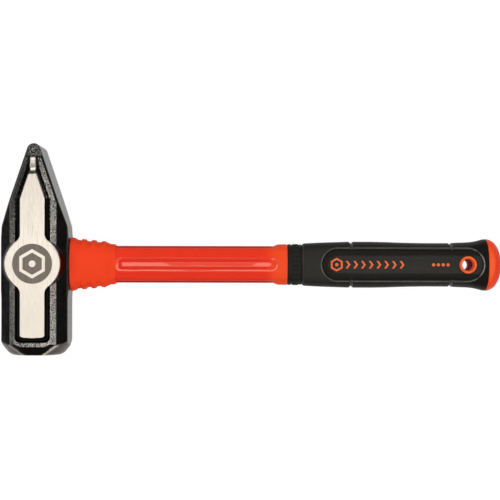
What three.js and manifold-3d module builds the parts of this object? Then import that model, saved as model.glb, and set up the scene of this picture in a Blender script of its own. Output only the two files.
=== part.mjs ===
// Cross peen hammer with a fibreglass-cored handle. Millimetres, +Z up.
// The hammer lies on one cheek: the handle runs along +X, the head's long axis
// along Y with the peen at +Y, and the cheeks face +Z and -Z. The outer group
// puts the origin at the bottom centre of the whole hammer's bounding box.
import * as THREE from "three";
import { mergeVertices } from "three/addons/utils/BufferGeometryUtils.js";
import Module from "manifold-3d";

const wasm = await Module();
wasm.setup();

// ---------------------------------------------------------------- dimensions
const GAP = 0.3; // clearance between neighbouring pieces

// Head, measured from the point where the handle axis meets the head axis.
const HEAD_HALF_X = 24.3; // flat eye faces
const EYE_SWELL = 0.5; // how far the eye faces stand proud around the eye
const HEAD_HALF_Z = 23.5; // ground cheek pads
const FACE_Y = -66.5; // striking face
const TIP_Y = 87.9; // end of the peen
const PEEN_START_Y = 27.3; // where the peen slopes begin
const PEEN_SLOPE = 0.3415; // half width lost per millimetre of height
const PEEN_TIP_R = 5.0;
const FLAT_HALF_Z = 13.3; // edge of the eye faces
const FACET_X = 16.75; // outer edge of the forged band
const FACET_Z = 19.4;
const BAND_X = 12.5; // inner edge of the forged band
const BAND_Z = 22.3;
const MOAT_X = 11.6; // relief channel around the cheek pad
const MOAT_Z = 20.9;
const MOAT_END_Y = -56.3;
const PAD_HALF_X = 8.95;
const PAD_END_Y = -53.5;
const PAD_TAPER_Y = 46.8;
const PAD_POINT_Y = 65.0;
const PAD_POINT_HALF_X = 2.6;
const HUB_R = 20.1; // round boss over the eye
const HUB_FOOT_R = 22.2;
const HUB_FOOT_Z = 14.5;
const CHEEK_RAMP_END_Y = 76.0;
const CHEEK_RAMP_END_Z = 19.4;
const TIP_HALF_Z = 18.0;
// Turned chamfer of the striking end: [height above the face, radius].
const FACE_PROFILE = [
  [0, 18.0], [1.75, 20.85], [3.9, 22.6], [6.1, 24.35], [8.3, 25.7], [10.5, 26.85],
  [12.6, 27.6], [14.5, 28.4], [22.5, 31.6],
];
const EYE_HEIGHT = 30.0; // along Y
const EYE_WIDTH = 21.0; // along Z

// Handle, [x, height along Y, thickness along Z].
const CORE = { height: 21.0, width: 15.0, start: -23.6, end: 302.0 };
const JACKET_ROOT = { x: 25.1, height: 24.4, width: 18.0 };
const GUARD = [
  // x, height between ribs, rib height (top and bottom edges only), thickness
  [25.1, 39.6, 0.0, 24.6],
  [27.3, 38.4, 0.0, 24.5],
  [28.9, 36.0, 0.4, 24.3],
  [31.1, 35.4, 0.5, 24.1],
  [32.6, 35.0, 2.2, 24.0],
  [34.8, 34.6, 2.6, 23.8],
  [36.2, 34.2, 0.2, 23.6],
  [38.4, 33.8, 0.2, 23.4],
  [39.7, 33.5, 2.3, 23.2],
  [41.6, 33.2, 2.7, 23.1],
  [43.4, 32.8, 0.2, 22.9],
  [45.9, 32.2, 0.3, 22.7],
  [47.5, 31.9, 2.0, 22.5],
  [50.2, 31.2, 1.4, 22.2],
  [53.0, 30.0, 0.2, 22.0],
  [56.0, 29.7, 0.0, 21.8],
  [57.6, 28.6, 0.0, 21.6],
  [58.7, 27.6, 0.0, 21.4],
];
const SHAFT = { height: 27.1, width: 21.4, start: 59.0, end: 174.6 };
const FERRULE = [
  // x, height, thickness
  [174.6, 27.1, 21.8], [176.7, 29.2, 22.4], [178.5, 29.8, 22.8], [184.6, 30.1, 24.0],
];
const UNDER_GRIP = { height: 25.2, width: 19.0, end: 328.0 };
const TRACK = { x0: 59.9, x1: 177.2, half: 5.2, width: 1.9, rise: 0.6 }; // raised outline on the shaft
const TRACK_BAR = { x0: 63.6, x1: 173.0, half: 1.5 };
const NOSE_RING = { x0: 184.9, x1: 195.5, height: 30.0, width: 24.0 };
const GRIP = [
  // x, height, thickness
  [195.9, 30.2, 24.2], [197.2, 31.3, 24.6], [203.0, 32.1, 25.1], [212.0, 32.9, 25.6],
  [222.0, 33.7, 26.3], [232.0, 34.0, 26.8], [246.0, 34.0, 27.4], [258.0, 33.4, 28.0],
  [270.0, 32.6, 28.7], [284.0, 32.1, 29.3], [298.0, 32.1, 29.9], [306.0, 32.4, 30.2],
  [313.0, 33.0, 30.3], [320.0, 33.9, 30.3], [325.0, 35.0, 30.2], [328.5, 36.4, 30.2],
  [331.5, 38.0, 30.2],
];
const GRIP_NOTCH_X = [231.9, 304.9];
const POCKET = { x0: 210.0, x1: 327.6, half: 11.6, depth: 0.8 }; // racetrack recess in each side of the grip
const PANEL = { x0: 215.0, x1: 306.5, half: 6.6, rise: 0.35, thick: 1.0 };
const HANG_X = 316.4;
const BUSH = { outer: 6.5, bore: 4.0, mouth: 5.2, lip: 1.6, length: 30.8 };
const BUTT = [
  [331.8, 38.2, 30.4], [333.0, 38.1, 30.4], [334.6, 37.0, 29.9], [336.0, 35.0, 28.8],
  [337.4, 32.6, 27.2], [338.8, 29.4, 25.0], [340.1, 25.6, 22.2], [341.3, 20.6, 18.4],
  [342.0, 16.0, 14.6], [342.3, 11.5, 10.8],
];
const TENON = { x0: 325.6, height: 15.0, width: 10.5 };

// ---------------------------------------------------------------- materials
const material = (color, roughness, metalness) =>
  new THREE.MeshStandardMaterial({ color, roughness, metalness });
const forgedSteel = () => material(0x2b2b2a, 0.42, 0.75);
const orangeGloss = () => material(0xe8421f, 0.32, 0.0);
const orangeMatte = () => material(0xea4424, 0.55, 0.0);
const blackRubber = () => material(0x252422, 0.72, 0.0);
const glassFibre = () => material(0xcfc59a, 0.5, 0.0);
const epoxy = () => material(0x3a3126, 0.35, 0.0);

// ---------------------------------------------------------------- helpers
function manifoldOf(geometry) {
  const g = geometry.clone();
  for (const name of ["normal", "uv"]) if (g.getAttribute(name)) g.deleteAttribute(name);
  const merged = mergeVertices(g, 1e-4);
  return new wasm.Manifold(
    new wasm.Mesh({
      numProp: 3,
      vertProperties: Float32Array.from(merged.getAttribute("position").array),
      triVerts: Uint32Array.from(merged.getIndex().array),
    }),
  );
}

function geometryOf(solid) {
  const mesh = solid.getMesh();
  const g = new THREE.BufferGeometry();
  const p = new Float32Array((mesh.vertProperties.length / mesh.numProp) * 3);
  for (let i = 0; i < p.length / 3; i++)
    for (let k = 0; k < 3; k++) p[3 * i + k] = mesh.vertProperties[mesh.numProp * i + k];
  g.setAttribute("position", new THREE.BufferAttribute(p, 3));
  g.setIndex(new THREE.BufferAttribute(Uint32Array.from(mesh.triVerts), 1));
  g.computeVertexNormals();
  return g;
}

// A closed skin over rings of equal point count, with flat fan ends.
function loft(rings) {
  const n = rings[0].length;
  const p = rings.flat().flatMap((v) => [v.x, v.y, v.z]);
  const index = [];
  for (let r = 0; r + 1 < rings.length; r++)
    for (let i = 0; i < n; i++) {
      const a = r * n + i, b = r * n + ((i + 1) % n), c = a + n, d = b + n;
      index.push(a, b, d, a, d, c);
    }
  for (const [r, flip] of [[0, true], [rings.length - 1, false]]) {
    const centre = rings[r].reduce((s, v) => s.add(v), new THREE.Vector3()).divideScalar(n);
    const c = p.length / 3;
    p.push(centre.x, centre.y, centre.z);
    for (let i = 0; i < n; i++) {
      const a = r * n + i, b = r * n + ((i + 1) % n);
      index.push(...(flip ? [b, a, c] : [a, b, c]));
    }
  }
  const g = new THREE.BufferGeometry();
  g.setAttribute("position", new THREE.BufferAttribute(new Float32Array(p), 3));
  g.setIndex(index);
  return g;
}

// A rounded-oval ring across the handle. power 2 is an ellipse, more is squarer.
function ovalRing(x, height, width, power = 2.6, count = 28, rib = 0) {
  return Array.from({ length: count }, (_, i) => {
    const a = (2 * Math.PI * i) / count;
    const s = Math.sin(a), c = Math.cos(a);
    const y = Math.sign(c) * Math.abs(c) ** (2 / power);
    const z = Math.sign(s) * Math.abs(s) ** (2 / power);
    const edge = THREE.MathUtils.smoothstep(Math.abs(y), 0.72, 0.97); // ribs stand on the top and bottom edges only
    return new THREE.Vector3(x, y * (height / 2 + (rib / 2) * edge), z * (width / 2));
  });
}
const ovalBar = (x0, x1, height, width, power, count) =>
  manifoldOf(loft([ovalRing(x0, height, width, power, count), ovalRing(x1, height, width, power, count)]));
const ovalLoft = (stations, power, count) =>
  manifoldOf(loft(stations.map(([x, h, w]) => ovalRing(x, h, w, power, count))));

function extrude(points, depth, curveSegments = 12) {
  const shape = points instanceof THREE.Shape ? points : new THREE.Shape(points.map(([x, y]) => new THREE.Vector2(x, y)));
  return new THREE.ExtrudeGeometry(shape, { depth, bevelEnabled: false, curveSegments });
}
// An XY outline standing between z0 and z1.
const slab = (points, z0, z1, curveSegments) =>
  manifoldOf(extrude(points, z1 - z0, curveSegments).translate(0, 0, z0));
// A round-ended slot outline in XY.
function slotShape(x0, x1, half) {
  const s = new THREE.Shape();
  s.moveTo(x0 + half, -half);
  s.lineTo(x1 - half, -half);
  s.absarc(x1 - half, 0, half, -Math.PI / 2, Math.PI / 2, false);
  s.lineTo(x0 + half, half);
  s.absarc(x0 + half, 0, half, Math.PI / 2, (3 * Math.PI) / 2, false);
  return s;
}
const upAndDown = (make) => make(1).add(make(-1));
const mirrorZ = (z0, z1, sign) => (sign > 0 ? [z0, z1] : [-z1, -z0]);

// ---------------------------------------------------------------- head
function peenHalfWidth(y) {
  return HEAD_HALF_X - PEEN_SLOPE * Math.max(0, y - PEEN_START_Y);
}
function headOutline() {
  const right = [[HEAD_HALF_X + EYE_SWELL, -20], [HEAD_HALF_X, -30], [HEAD_HALF_X, FACE_Y]];
  const outline = [...right.slice().reverse(), [HEAD_HALF_X + EYE_SWELL, 20], [HEAD_HALF_X, PEEN_START_Y]];
  const slope = Math.atan(PEEN_SLOPE);
  const cy = TIP_Y - PEEN_TIP_R;
  for (let i = 0; i <= 8; i++) {
    const a = slope + ((Math.PI / 2 - slope) * i) / 8;
    outline.push([PEEN_TIP_R * Math.cos(a), cy + PEEN_TIP_R * Math.sin(a)]);
  }
  return [...outline, ...outline.slice(0, -1).reverse().map(([x, y]) => [-x, y])];
}
function hammerHead() {
  const section = [
    [HEAD_HALF_X + 2, FLAT_HALF_Z - 2 * (FACET_Z - FLAT_HALF_Z) / (HEAD_HALF_X - FACET_X)],
    [FACET_X, FACET_Z], [BAND_X, BAND_Z], [-BAND_X, BAND_Z], [-FACET_X, FACET_Z],
    [-HEAD_HALF_X - 2, FLAT_HALF_Z - 2 * (FACET_Z - FLAT_HALF_Z) / (HEAD_HALF_X - FACET_X)],
  ];
  const ring = [...section, ...section.slice().reverse().map(([x, z]) => [x, -z])];
  const bar = manifoldOf(extrude(ring, TIP_Y - FACE_Y + 2).rotateX(Math.PI / 2).translate(0, TIP_Y + 1, 0));
  const moat = (sign) =>
    slab([[-MOAT_X, MOAT_END_Y], [MOAT_X, MOAT_END_Y], [MOAT_X, PAD_TAPER_Y],
      [PAD_POINT_HALF_X + 2.6, PAD_POINT_Y + 1], [PAD_POINT_HALF_X + 2.2, CHEEK_RAMP_END_Y],
      [-PAD_POINT_HALF_X - 2.2, CHEEK_RAMP_END_Y], [-PAD_POINT_HALF_X - 2.6, PAD_POINT_Y + 1],
      [-MOAT_X, PAD_TAPER_Y]], ...mirrorZ(MOAT_Z, 30, sign));
  const pad = (sign) =>
    slab([[-PAD_HALF_X, PAD_END_Y + 0.7], [-PAD_HALF_X / 2, PAD_END_Y + 0.1], [PAD_HALF_X / 2, PAD_END_Y + 0.1],
      [PAD_HALF_X, PAD_END_Y + 0.7], [PAD_HALF_X, PAD_TAPER_Y],
      [PAD_POINT_HALF_X, PAD_POINT_Y], [PAD_POINT_HALF_X - 0.3, CHEEK_RAMP_END_Y],
      [-PAD_POINT_HALF_X + 0.3, CHEEK_RAMP_END_Y], [-PAD_POINT_HALF_X, PAD_POINT_Y],
      [-PAD_HALF_X, PAD_TAPER_Y]], ...mirrorZ(10, HEAD_HALF_Z, sign));
  const hub = new THREE.LatheGeometry(
    [[0, -HEAD_HALF_Z], [HUB_R, -HEAD_HALF_Z], [HUB_FOOT_R, -HUB_FOOT_Z], [HUB_FOOT_R, HUB_FOOT_Z],
      [HUB_R, HEAD_HALF_Z], [0, HEAD_HALF_Z]].map(([r, z]) => new THREE.Vector2(r, z)), 48).rotateX(Math.PI / 2);
  const outline = manifoldOf(extrude(headOutline(), 80).translate(0, 0, -40));
  const cheekLine = [
    [FACE_Y - 1, -HEAD_HALF_Z], [PAD_POINT_Y, -HEAD_HALF_Z], [CHEEK_RAMP_END_Y - 3, -CHEEK_RAMP_END_Z - 0.9],
    [CHEEK_RAMP_END_Y, -CHEEK_RAMP_END_Z], [TIP_Y - 3, -TIP_HALF_Z - 0.6], [TIP_Y + 1, -TIP_HALF_Z + 1.4],
  ];
  // (y, z) outline swept along X
  const cheeks = manifoldOf(
    extrude([...cheekLine, ...cheekLine.slice().reverse().map(([y, z]) => [y, -z])], 80)
      .applyMatrix4(new THREE.Matrix4().makeBasis(new THREE.Vector3(0, 1, 0), new THREE.Vector3(0, 0, 1), new THREE.Vector3(1, 0, 0)))
      .translate(-40, 0, 0));
  const turned = manifoldOf(new THREE.LatheGeometry(
    [[0, FACE_Y], ...FACE_PROFILE.map(([h, r]) => [r, FACE_Y + h]), [60, FACE_Y + 60], [60, TIP_Y + 5], [0, TIP_Y + 5]]
      .map(([r, y]) => new THREE.Vector2(r, y)), 56));
  const eye = ovalBar(-40, 40, EYE_HEIGHT, EYE_WIDTH, 2.2, 32);
  return bar
    .subtract(upAndDown(moat))
    .add(upAndDown(pad))
    .intersect(cheeks)
    .add(manifoldOf(hub))
    .intersect(outline)
    .intersect(turned)
    .subtract(eye);
}

// ---------------------------------------------------------------- handle
function fibreglassCore() {
  return ovalBar(CORE.start, CORE.end, CORE.height, CORE.width, 2.2, 32);
}
function eyeResin() {
  const x0 = -HEAD_HALF_X - EYE_SWELL + 0.9;
  const x1 = HEAD_HALF_X + EYE_SWELL - 0.6;
  return ovalBar(x0, x1, EYE_HEIGHT - 2 * GAP, EYE_WIDTH - 2 * GAP, 2.2, 32)
    .subtract(ovalBar(x0 - 5, x1 + 5, CORE.height + 2 * GAP, CORE.width + 2 * GAP, 2.2, 32));
}
function handleJacket() {
  const outer = ovalLoft([
    [JACKET_ROOT.x, JACKET_ROOT.height, JACKET_ROOT.width],
    [SHAFT.start, JACKET_ROOT.height, JACKET_ROOT.width],
    [SHAFT.start + 0.01, SHAFT.height, SHAFT.width],
    [120, SHAFT.height, SHAFT.width],
    ...FERRULE,
    [FERRULE.at(-1)[0] + 0.01, UNDER_GRIP.height, UNDER_GRIP.width],
    [UNDER_GRIP.end, UNDER_GRIP.height, UNDER_GRIP.width],
  ], 2.9, 32);
  const bore = ovalBar(JACKET_ROOT.x - 5, CORE.end + GAP, CORE.height + 2 * GAP, CORE.width + 2 * GAP, 2.2, 32);
  const track = (sign) => {
    const z = mirrorZ(SHAFT.width / 2 - 1.5, SHAFT.width / 2 + TRACK.rise, sign);
    const ring = slab(slotShape(TRACK.x0, TRACK.x1, TRACK.half), ...z, 8)
      .subtract(slab(slotShape(TRACK.x0 + TRACK.width, TRACK.x1 - TRACK.width, TRACK.half - TRACK.width), -30, 30, 8));
    return ring.add(slab(slotShape(TRACK_BAR.x0, TRACK_BAR.x1, TRACK_BAR.half), ...z, 4));
  };
  const hang = manifoldOf(new THREE.CylinderGeometry(BUSH.outer + GAP, BUSH.outer + GAP, 60, 32)
    .rotateX(Math.PI / 2).translate(HANG_X, 0, 0));
  const pocket = ovalBar(TENON.x0 - GAP, 340, TENON.height + 2 * GAP, TENON.width + 2 * GAP, 2.4, 24);
  return outer.add(upAndDown(track)).subtract(bore).subtract(hang).subtract(pocket);
}
function overstrikeGuard() {
  const outer = manifoldOf(loft(GUARD.map(([x, h, rib, w]) => ovalRing(x, h, w, 2.7, 36, rib))));
  return outer.subtract(ovalBar(10, 80, JACKET_ROOT.height + 2 * GAP, JACKET_ROOT.width + 2 * GAP, 2.9, 32));
}
const gripCavity = (x0, x1) =>
  ovalBar(x0, x1, UNDER_GRIP.height + 2 * GAP, UNDER_GRIP.width + 2 * GAP, 2.9, 32);
function gripNoseRing() {
  const { x0, x1, height, width } = NOSE_RING;
  return ovalLoft([[x0, height, width], [x1 - 0.8, height, width], [x1, height - 1.4, width - 1.4]], 2.7, 32)
    .subtract(gripCavity(x0 - 5, x1 + 5));
}
function gripSleeve() {
  const outer = ovalLoft(GRIP, 2.8, 36);
  // the racetrack recess follows the crowned side of the grip at a constant depth
  const floor = ovalLoft(GRIP.map(([x, h, w]) => [x, h - 2 * POCKET.depth, w - 2 * POCKET.depth]), 2.8, 36);
  const recess = slab(slotShape(POCKET.x0, POCKET.x1, POCKET.half), -30, 30, 8).subtract(floor);
  const panelSeat = (sign) => panelSlab(sign, GAP, true);
  // V cuts across the top and bottom edges
  const notch = (x, side) =>
    slab([[x - 1.7, side * 18.5], [x, side * 14.6], [x + 1.7, side * 18.5]], -20, 20);
  const notches = GRIP_NOTCH_X.flatMap((x) => [notch(x, 1), notch(x, -1)]).reduce((a, b) => a.add(b));
  const hang = manifoldOf(new THREE.CylinderGeometry(BUSH.outer + GAP, BUSH.outer + GAP, 60, 32)
    .rotateX(Math.PI / 2).translate(HANG_X, 0, 0));
  const tenonWay = ovalBar(UNDER_GRIP.end - 1, 345, TENON.height + 2 * GAP, TENON.width + 2 * GAP, 2.4, 24);
  return outer
    .subtract(recess)
    .subtract(panelSeat(1)).subtract(panelSeat(-1))
    .subtract(notches)
    .subtract(gripCavity(GRIP[0][0] - 5, UNDER_GRIP.end + GAP))
    .subtract(hang)
    .subtract(tenonWay);
}
// The flat insert in each side of the grip, wedge shaped like the grip itself.
function panelSlab(sign, grow, seat) {
  const floorAt = (x) => THREE.MathUtils.mapLinear(x, POCKET.x0, POCKET.x1, 25.4, 30.3) / 2 - POCKET.depth;
  const g = extrude(slotShape(PANEL.x0 - grow, PANEL.x1 + grow, PANEL.half + grow), 20, 8);
  const p = g.getAttribute("position");
  for (let i = 0; i < p.count; i++) {
    const f = floorAt(p.getX(i));
    const top = seat ? f + 5 : f + PANEL.rise;
    const bottom = f + PANEL.rise - PANEL.thick - grow;
    p.setZ(i, sign * (p.getZ(i) > 1 ? top : bottom));
  }
  if (sign < 0) {
    const a = p.array;
    for (let i = 0; i < p.count; i += 3)
      for (let k = 0; k < 3; k++) [a[3 * i + k], a[3 * i + 3 + k]] = [a[3 * i + 3 + k], a[3 * i + k]];
  }
  return manifoldOf(g);
}
const gripPanel = (sign) => panelSlab(sign, 0, false);
function hangHoleBush() {
  const h = BUSH.length / 2;
  const profile = [[BUSH.bore, -h + BUSH.lip], [BUSH.mouth, -h], [BUSH.outer - 0.4, -h], [BUSH.outer, -h + 0.4],
    [BUSH.outer, h - 0.4], [BUSH.outer - 0.4, h], [BUSH.mouth, h], [BUSH.bore, h - BUSH.lip], [BUSH.bore, -h + BUSH.lip]];
  return manifoldOf(new THREE.LatheGeometry(profile.map(([r, z]) => new THREE.Vector2(r, z)), 32)
    .rotateX(Math.PI / 2).translate(HANG_X, 0, 0));
}
function buttCap() {
  return ovalLoft(BUTT, 2.6, 36)
    .add(ovalBar(TENON.x0, BUTT[0][0] + 1, TENON.height, TENON.width, 2.4, 24));
}

// ---------------------------------------------------------------- assembly
const pieces = {
  hammer_head: [hammerHead(), forgedSteel()],
  eye_resin: [eyeResin(), epoxy()],
  fibreglass_core: [fibreglassCore(), glassFibre()],
  overstrike_guard: [overstrikeGuard(), orangeMatte()],
  handle_jacket: [handleJacket(), orangeGloss()],
  grip_nose_ring: [gripNoseRing(), blackRubber()],
  grip_sleeve: [gripSleeve(), blackRubber()],
  grip_panel_top: [gripPanel(1), blackRubber()],
  grip_panel_bottom: [gripPanel(-1), blackRubber()],
  hang_hole_bush: [hangHoleBush(), orangeGloss()],
  butt_cap: [buttCap(), orangeMatte()],
};

const hammer = new THREE.Group();
for (const [name, [solid, look]] of Object.entries(pieces)) {
  const mesh = new THREE.Mesh(geometryOf(solid), look);
  mesh.name = name;
  hammer.add(mesh);
}
const X_MIN = -HEAD_HALF_X - EYE_SWELL;
const X_MAX = BUTT.at(-1)[0];
hammer.position.set(-(X_MIN + X_MAX) / 2, -(FACE_Y + TIP_Y) / 2, HEAD_HALF_Z);

const part = new THREE.Group();
part.add(hammer);
export default part;
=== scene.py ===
"""Looks for the cross peen hammer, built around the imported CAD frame.
All shapes are worked out in millimetres in the head's own axes (X along the handle, Y along the head
towards the peen, Z out of the upper cheek, origin where the two axes cross) and then placed by the
CAD model's own boxes."""
import math

import bmesh
import bpy
import numpy as np
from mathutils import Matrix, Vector


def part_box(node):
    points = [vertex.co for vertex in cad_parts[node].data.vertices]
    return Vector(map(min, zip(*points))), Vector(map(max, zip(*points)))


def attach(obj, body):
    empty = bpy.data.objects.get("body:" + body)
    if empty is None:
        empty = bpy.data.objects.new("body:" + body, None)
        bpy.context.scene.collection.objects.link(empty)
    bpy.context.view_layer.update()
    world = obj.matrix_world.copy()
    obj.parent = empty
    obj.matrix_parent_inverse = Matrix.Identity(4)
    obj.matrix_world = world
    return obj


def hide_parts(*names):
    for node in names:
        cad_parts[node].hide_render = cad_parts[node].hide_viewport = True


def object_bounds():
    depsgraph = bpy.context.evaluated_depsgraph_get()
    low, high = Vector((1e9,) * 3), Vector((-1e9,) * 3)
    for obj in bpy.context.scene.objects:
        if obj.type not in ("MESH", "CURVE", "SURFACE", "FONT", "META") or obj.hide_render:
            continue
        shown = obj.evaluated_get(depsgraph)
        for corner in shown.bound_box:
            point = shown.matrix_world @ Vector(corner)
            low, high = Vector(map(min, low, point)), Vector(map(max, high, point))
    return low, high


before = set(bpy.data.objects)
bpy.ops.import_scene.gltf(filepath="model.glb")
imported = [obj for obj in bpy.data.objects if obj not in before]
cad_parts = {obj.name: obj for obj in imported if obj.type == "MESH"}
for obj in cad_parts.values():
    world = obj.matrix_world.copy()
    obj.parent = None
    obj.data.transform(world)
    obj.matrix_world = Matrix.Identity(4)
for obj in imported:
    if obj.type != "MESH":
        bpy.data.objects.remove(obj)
CAD_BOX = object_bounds()

MM = 0.001
_lo, _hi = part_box("hammer_head")
_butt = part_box("butt_cap")
OX, OY, OZ = _lo[0] + 24.8 * MM, _lo[1] + 66.5 * MM, (_lo[2] + _hi[2]) / 2
rng = np.random.default_rng(7)


def row(p):
    """Millimetres in the head's axes to metres in the row frame."""
    p = np.asarray(p, float)
    return p * MM + np.array([OX, OY, OZ])


# ------------------------------------------------------------------ mesh helpers
def make_mesh(name, verts, faces, smooth=True):
    me = bpy.data.meshes.new(name)
    me.from_pydata([tuple(v) for v in verts], [], [tuple(f) for f in faces])
    me.validate()
    me.update()
    if smooth:
        me.polygons.foreach_set("use_smooth", [True] * len(me.polygons))
    ob = bpy.data.objects.new(name, me)
    bpy.context.scene.collection.objects.link(ob)
    return ob


def grid_faces(nr, na, closed_rings=False, flip=False):
    r = np.arange(nr if closed_rings else nr - 1)[:, None]
    a = np.arange(na)[None, :]
    r1, a1 = (r + 1) % nr, (a + 1) % na
    f = np.stack([r * na + a, r * na + a1, r1 * na + a1, r1 * na + a], axis=-1).reshape(-1, 4)
    return f[:, ::-1] if flip else f


def loft(name, rings, cap0=True, cap1=True, flip=False, attrs=None, place=True):
    """A closed skin over rings (nr, na, 3) in millimetres."""
    rings = np.asarray(rings, float)
    nr, na = rings.shape[:2]
    v = rings.reshape(-1, 3)
    faces = [tuple(int(i) for i in f) for f in grid_faces(nr, na, flip=flip)]
    if cap0:
        f = tuple(range(na))
        faces.append(f if flip else f[::-1])
    if cap1:
        f = tuple(range((nr - 1) * na, nr * na))
        faces.append(f[::-1] if flip else f)
    ob = make_mesh(name, row(v) if place else v * MM, faces)
    if attrs:
        for key, val in attrs.items():
            a = ob.data.attributes.new(key, "FLOAT", "POINT")
            a.data.foreach_set("value", np.asarray(val, np.float32).reshape(-1))
    recalc(ob)
    return ob


def recalc(ob):
    bm = bmesh.new()
    bm.from_mesh(ob.data)
    bmesh.ops.recalc_face_normals(bm, faces=bm.faces)
    bm.to_mesh(ob.data)
    bm.free()
    ob.data.update()


def apply_modifiers(ob):
    dg = bpy.context.evaluated_depsgraph_get()
    me = bpy.data.meshes.new_from_object(ob.evaluated_get(dg), preserve_all_data_layers=True, depsgraph=dg)
    old = ob.data
    ob.modifiers.clear()
    ob.data = me
    me.name = ob.name
    if old.users == 0:
        bpy.data.meshes.remove(old)


def boolean(ob, cutter, operation="DIFFERENCE"):
    m = ob.modifiers.new("cut", "BOOLEAN")
    m.operation, m.object, m.solver = operation, cutter, "EXACT"
    apply_modifiers(ob)
    bpy.data.objects.remove(cutter, do_unlink=True)


def smooth_by_angle(ob, degrees=35):
    me = ob.data
    me.polygons.foreach_set("use_smooth", [True] * len(me.polygons))
    me.set_sharp_from_angle(angle=math.radians(degrees))


def smax(a, b, k):
    h = np.maximum(k - np.abs(a - b), 0) / k
    return np.maximum(a, b) + h * h * k / 4


def smin(a, b, k):
    return -smax(-a, -b, k)


def sstep(x, a, b):
    t = np.clip((x - a) / (b - a), 0, 1)
    return t * t * (3 - 2 * t)


def curve(points, smooth=0.0):
    """A piecewise-linear function through the points, softened over `smooth` mm."""
    px, py = np.array(points, float).T
    if not smooth:
        return lambda x: np.interp(x, px, py)
    xs = np.arange(px[0] - 3 * smooth, px[-1] + 3 * smooth, smooth / 6)
    ys = np.interp(xs, px, py)
    k = np.hanning(15)
    k /= k.sum()
    ext = np.pad(ys, 7, mode="edge")
    for _ in range(1):
        ys = np.convolve(ext, k, mode="valid")
    return lambda x: np.interp(x, xs, ys)


def spaced(parts):
    """Stations: [(start, end, step), ...] joined without repeats."""
    out = []
    for a, b, step in parts:
        n = max(1, int(round((b - a) / step)))
        out += list(np.linspace(a, b, n + 1))
    out = np.array(sorted(out))
    keep = np.concatenate([[True], np.diff(out) > 1e-4])
    return out[keep]


# ------------------------------------------------------------------ the head
FACE_Y, TIP_Y = -66.5, 87.9
HALF_X, FLAT_Z, SLOPE, PEEN_Y = 24.3, 13.3, 0.3415, 27.3
COSB = 1 / math.hypot(1, SLOPE)
BETA = math.atan(SLOPE)
PAD_Z = 23.5
HUB_Y = 0.2
turn_r = curve([(FACE_Y - 2, 15.5), (FACE_Y, 17.9), (FACE_Y + 0.6, 19.3), (FACE_Y + 1.75, 20.85), (FACE_Y + 3.9, 22.6),
                (FACE_Y + 6.1, 24.45), (FACE_Y + 7.6, 25.6), (FACE_Y + 8.8, 26.5), (FACE_Y + 10, 27.5), (FACE_Y + 11, 28.2), (FACE_Y + 12.6, 29.0),
                (FACE_Y + 15, 30.0), (FACE_Y + 20, 32.5), (FACE_Y + 30, 38)], 0.6)
ramp_z = curve([(-80, PAD_Z), (64.9, PAD_Z), (65.5, 23.25), (66.6, 22.5), (67.8, 21.85), (69.2, 21.3), (70.6, 20.98), (71.5, 20.92), (73.0, 20.97),
                (75.5, 21.2), (77.2, 21.45), (77.8, 21.4), (95, 21.0)], 0.5)
top_z = curve([(-80, 22.7), (60, 22.7), (67, 22.35), (72, 21.9), (77, 21.2), (80, 20.3), (84, 19.0), (86.5, 18.0), (90, 16.2)], 2.0)
pad_half = curve([(-80, 8.95), (46.8, 8.95), (65.4, 2.7), (67.0, 2.2), (77.8, 1.55), (95, 1.55)], 1.0)


def half_width(y):
    t = y - PEEN_Y
    return HALF_X - SLOPE * 0.5 * (t + np.sqrt(t * t + 1.2))


def moat_half(y):
    return np.minimum(12.5, half_width(y) - 5.3)


def band_half(y):
    return np.minimum(16.75, half_width(y) - 1.8)


def swell(y, z):
    return 0.5 * (1 - sstep(np.abs(y), 17, 27)) * (1 - 0.25 * sstep(np.abs(z), 9, 14))


def head_parts(x, y, z):
    """The head's limiting surfaces; negative is inside."""
    ax, az = np.abs(x), np.abs(z)
    hw = half_width(y) + swell(y, z)
    yy = y - (TIP_Y - 5.03)
    out = np.where(yy > ax * math.tan(BETA), np.hypot(ax, np.maximum(yy, 0)) - 5.03, (ax - hw) * COSB)
    e = ax - half_width(y)
    outside_band = sstep(ax - band_half(y), -0.1, 0.35)
    facet = 0.6285 * ax + 0.7779 * az - 25.62 + 0.22 * outside_band
    edge = (az - 18.2 + 0.82 * e) * 0.77 + 0.2 * outside_band
    top = az - top_z(y)
    turn = (np.hypot(x, z) - turn_r(y)) * 0.8
    turn = smax(turn, (az - 22.4 - 0.85 * (y + 60.8)) * 0.76, 0.8)
    # relief channel round the pad
    dm = smax(ax - moat_half(y), -56.5 - y, 5.0)
    dm = smax(dm, y - 78.0, 1.2)
    moat = (az - (20.7 + 1.75 * np.maximum(0, dm + 0.82))) * 0.6
    # pad and boss
    bar = smax(ax - pad_half(y), -53.6 + 0.75 * (ax / 8.95) ** 2 - y, 1.6)
    bar = smax(bar, y - 77.6, 0.6)
    boss = np.hypot(x, y - HUB_Y) - 20.1
    d2 = smin(bar, boss, 3.2)
    zp = ramp_z(y)
    draft = 0.26 + 0.42 * sstep(y, 45, 50) * (1 - sstep(y, 64, 70))
    pad = smax((d2 - draft * (zp - az)) * 0.95, az - zp, 0.35)
    return out, facet, edge, top, turn, moat, pad, d2, dm


def head_solid(x, y, z):
    out, facet, edge, top, turn, moat, pad, d2, dm = head_parts(x, y, z)
    b = smax(facet, edge, 1.0)
    b = smax(b, top, 0.9)
    b = smax(b, moat, 0.8)
    b = smin(b, pad, 0.5)
    b = smax(b, out, 0.7)
    b = smax(b, turn, 0.6)
    # softened mouth of the eye on both sides
    ov = (np.abs(y / 15.0) ** 2.2 + np.abs(z / 10.5) ** 2.2) ** (1 / 2.2)
    mouth = (np.abs(x) - (24.8 - np.clip(1.1 - (ov - 1) * 12.5, 0, 1.1))) * 0.7
    return np.where(np.abs(x) > 15, np.maximum(b, mouth), b)


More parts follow.
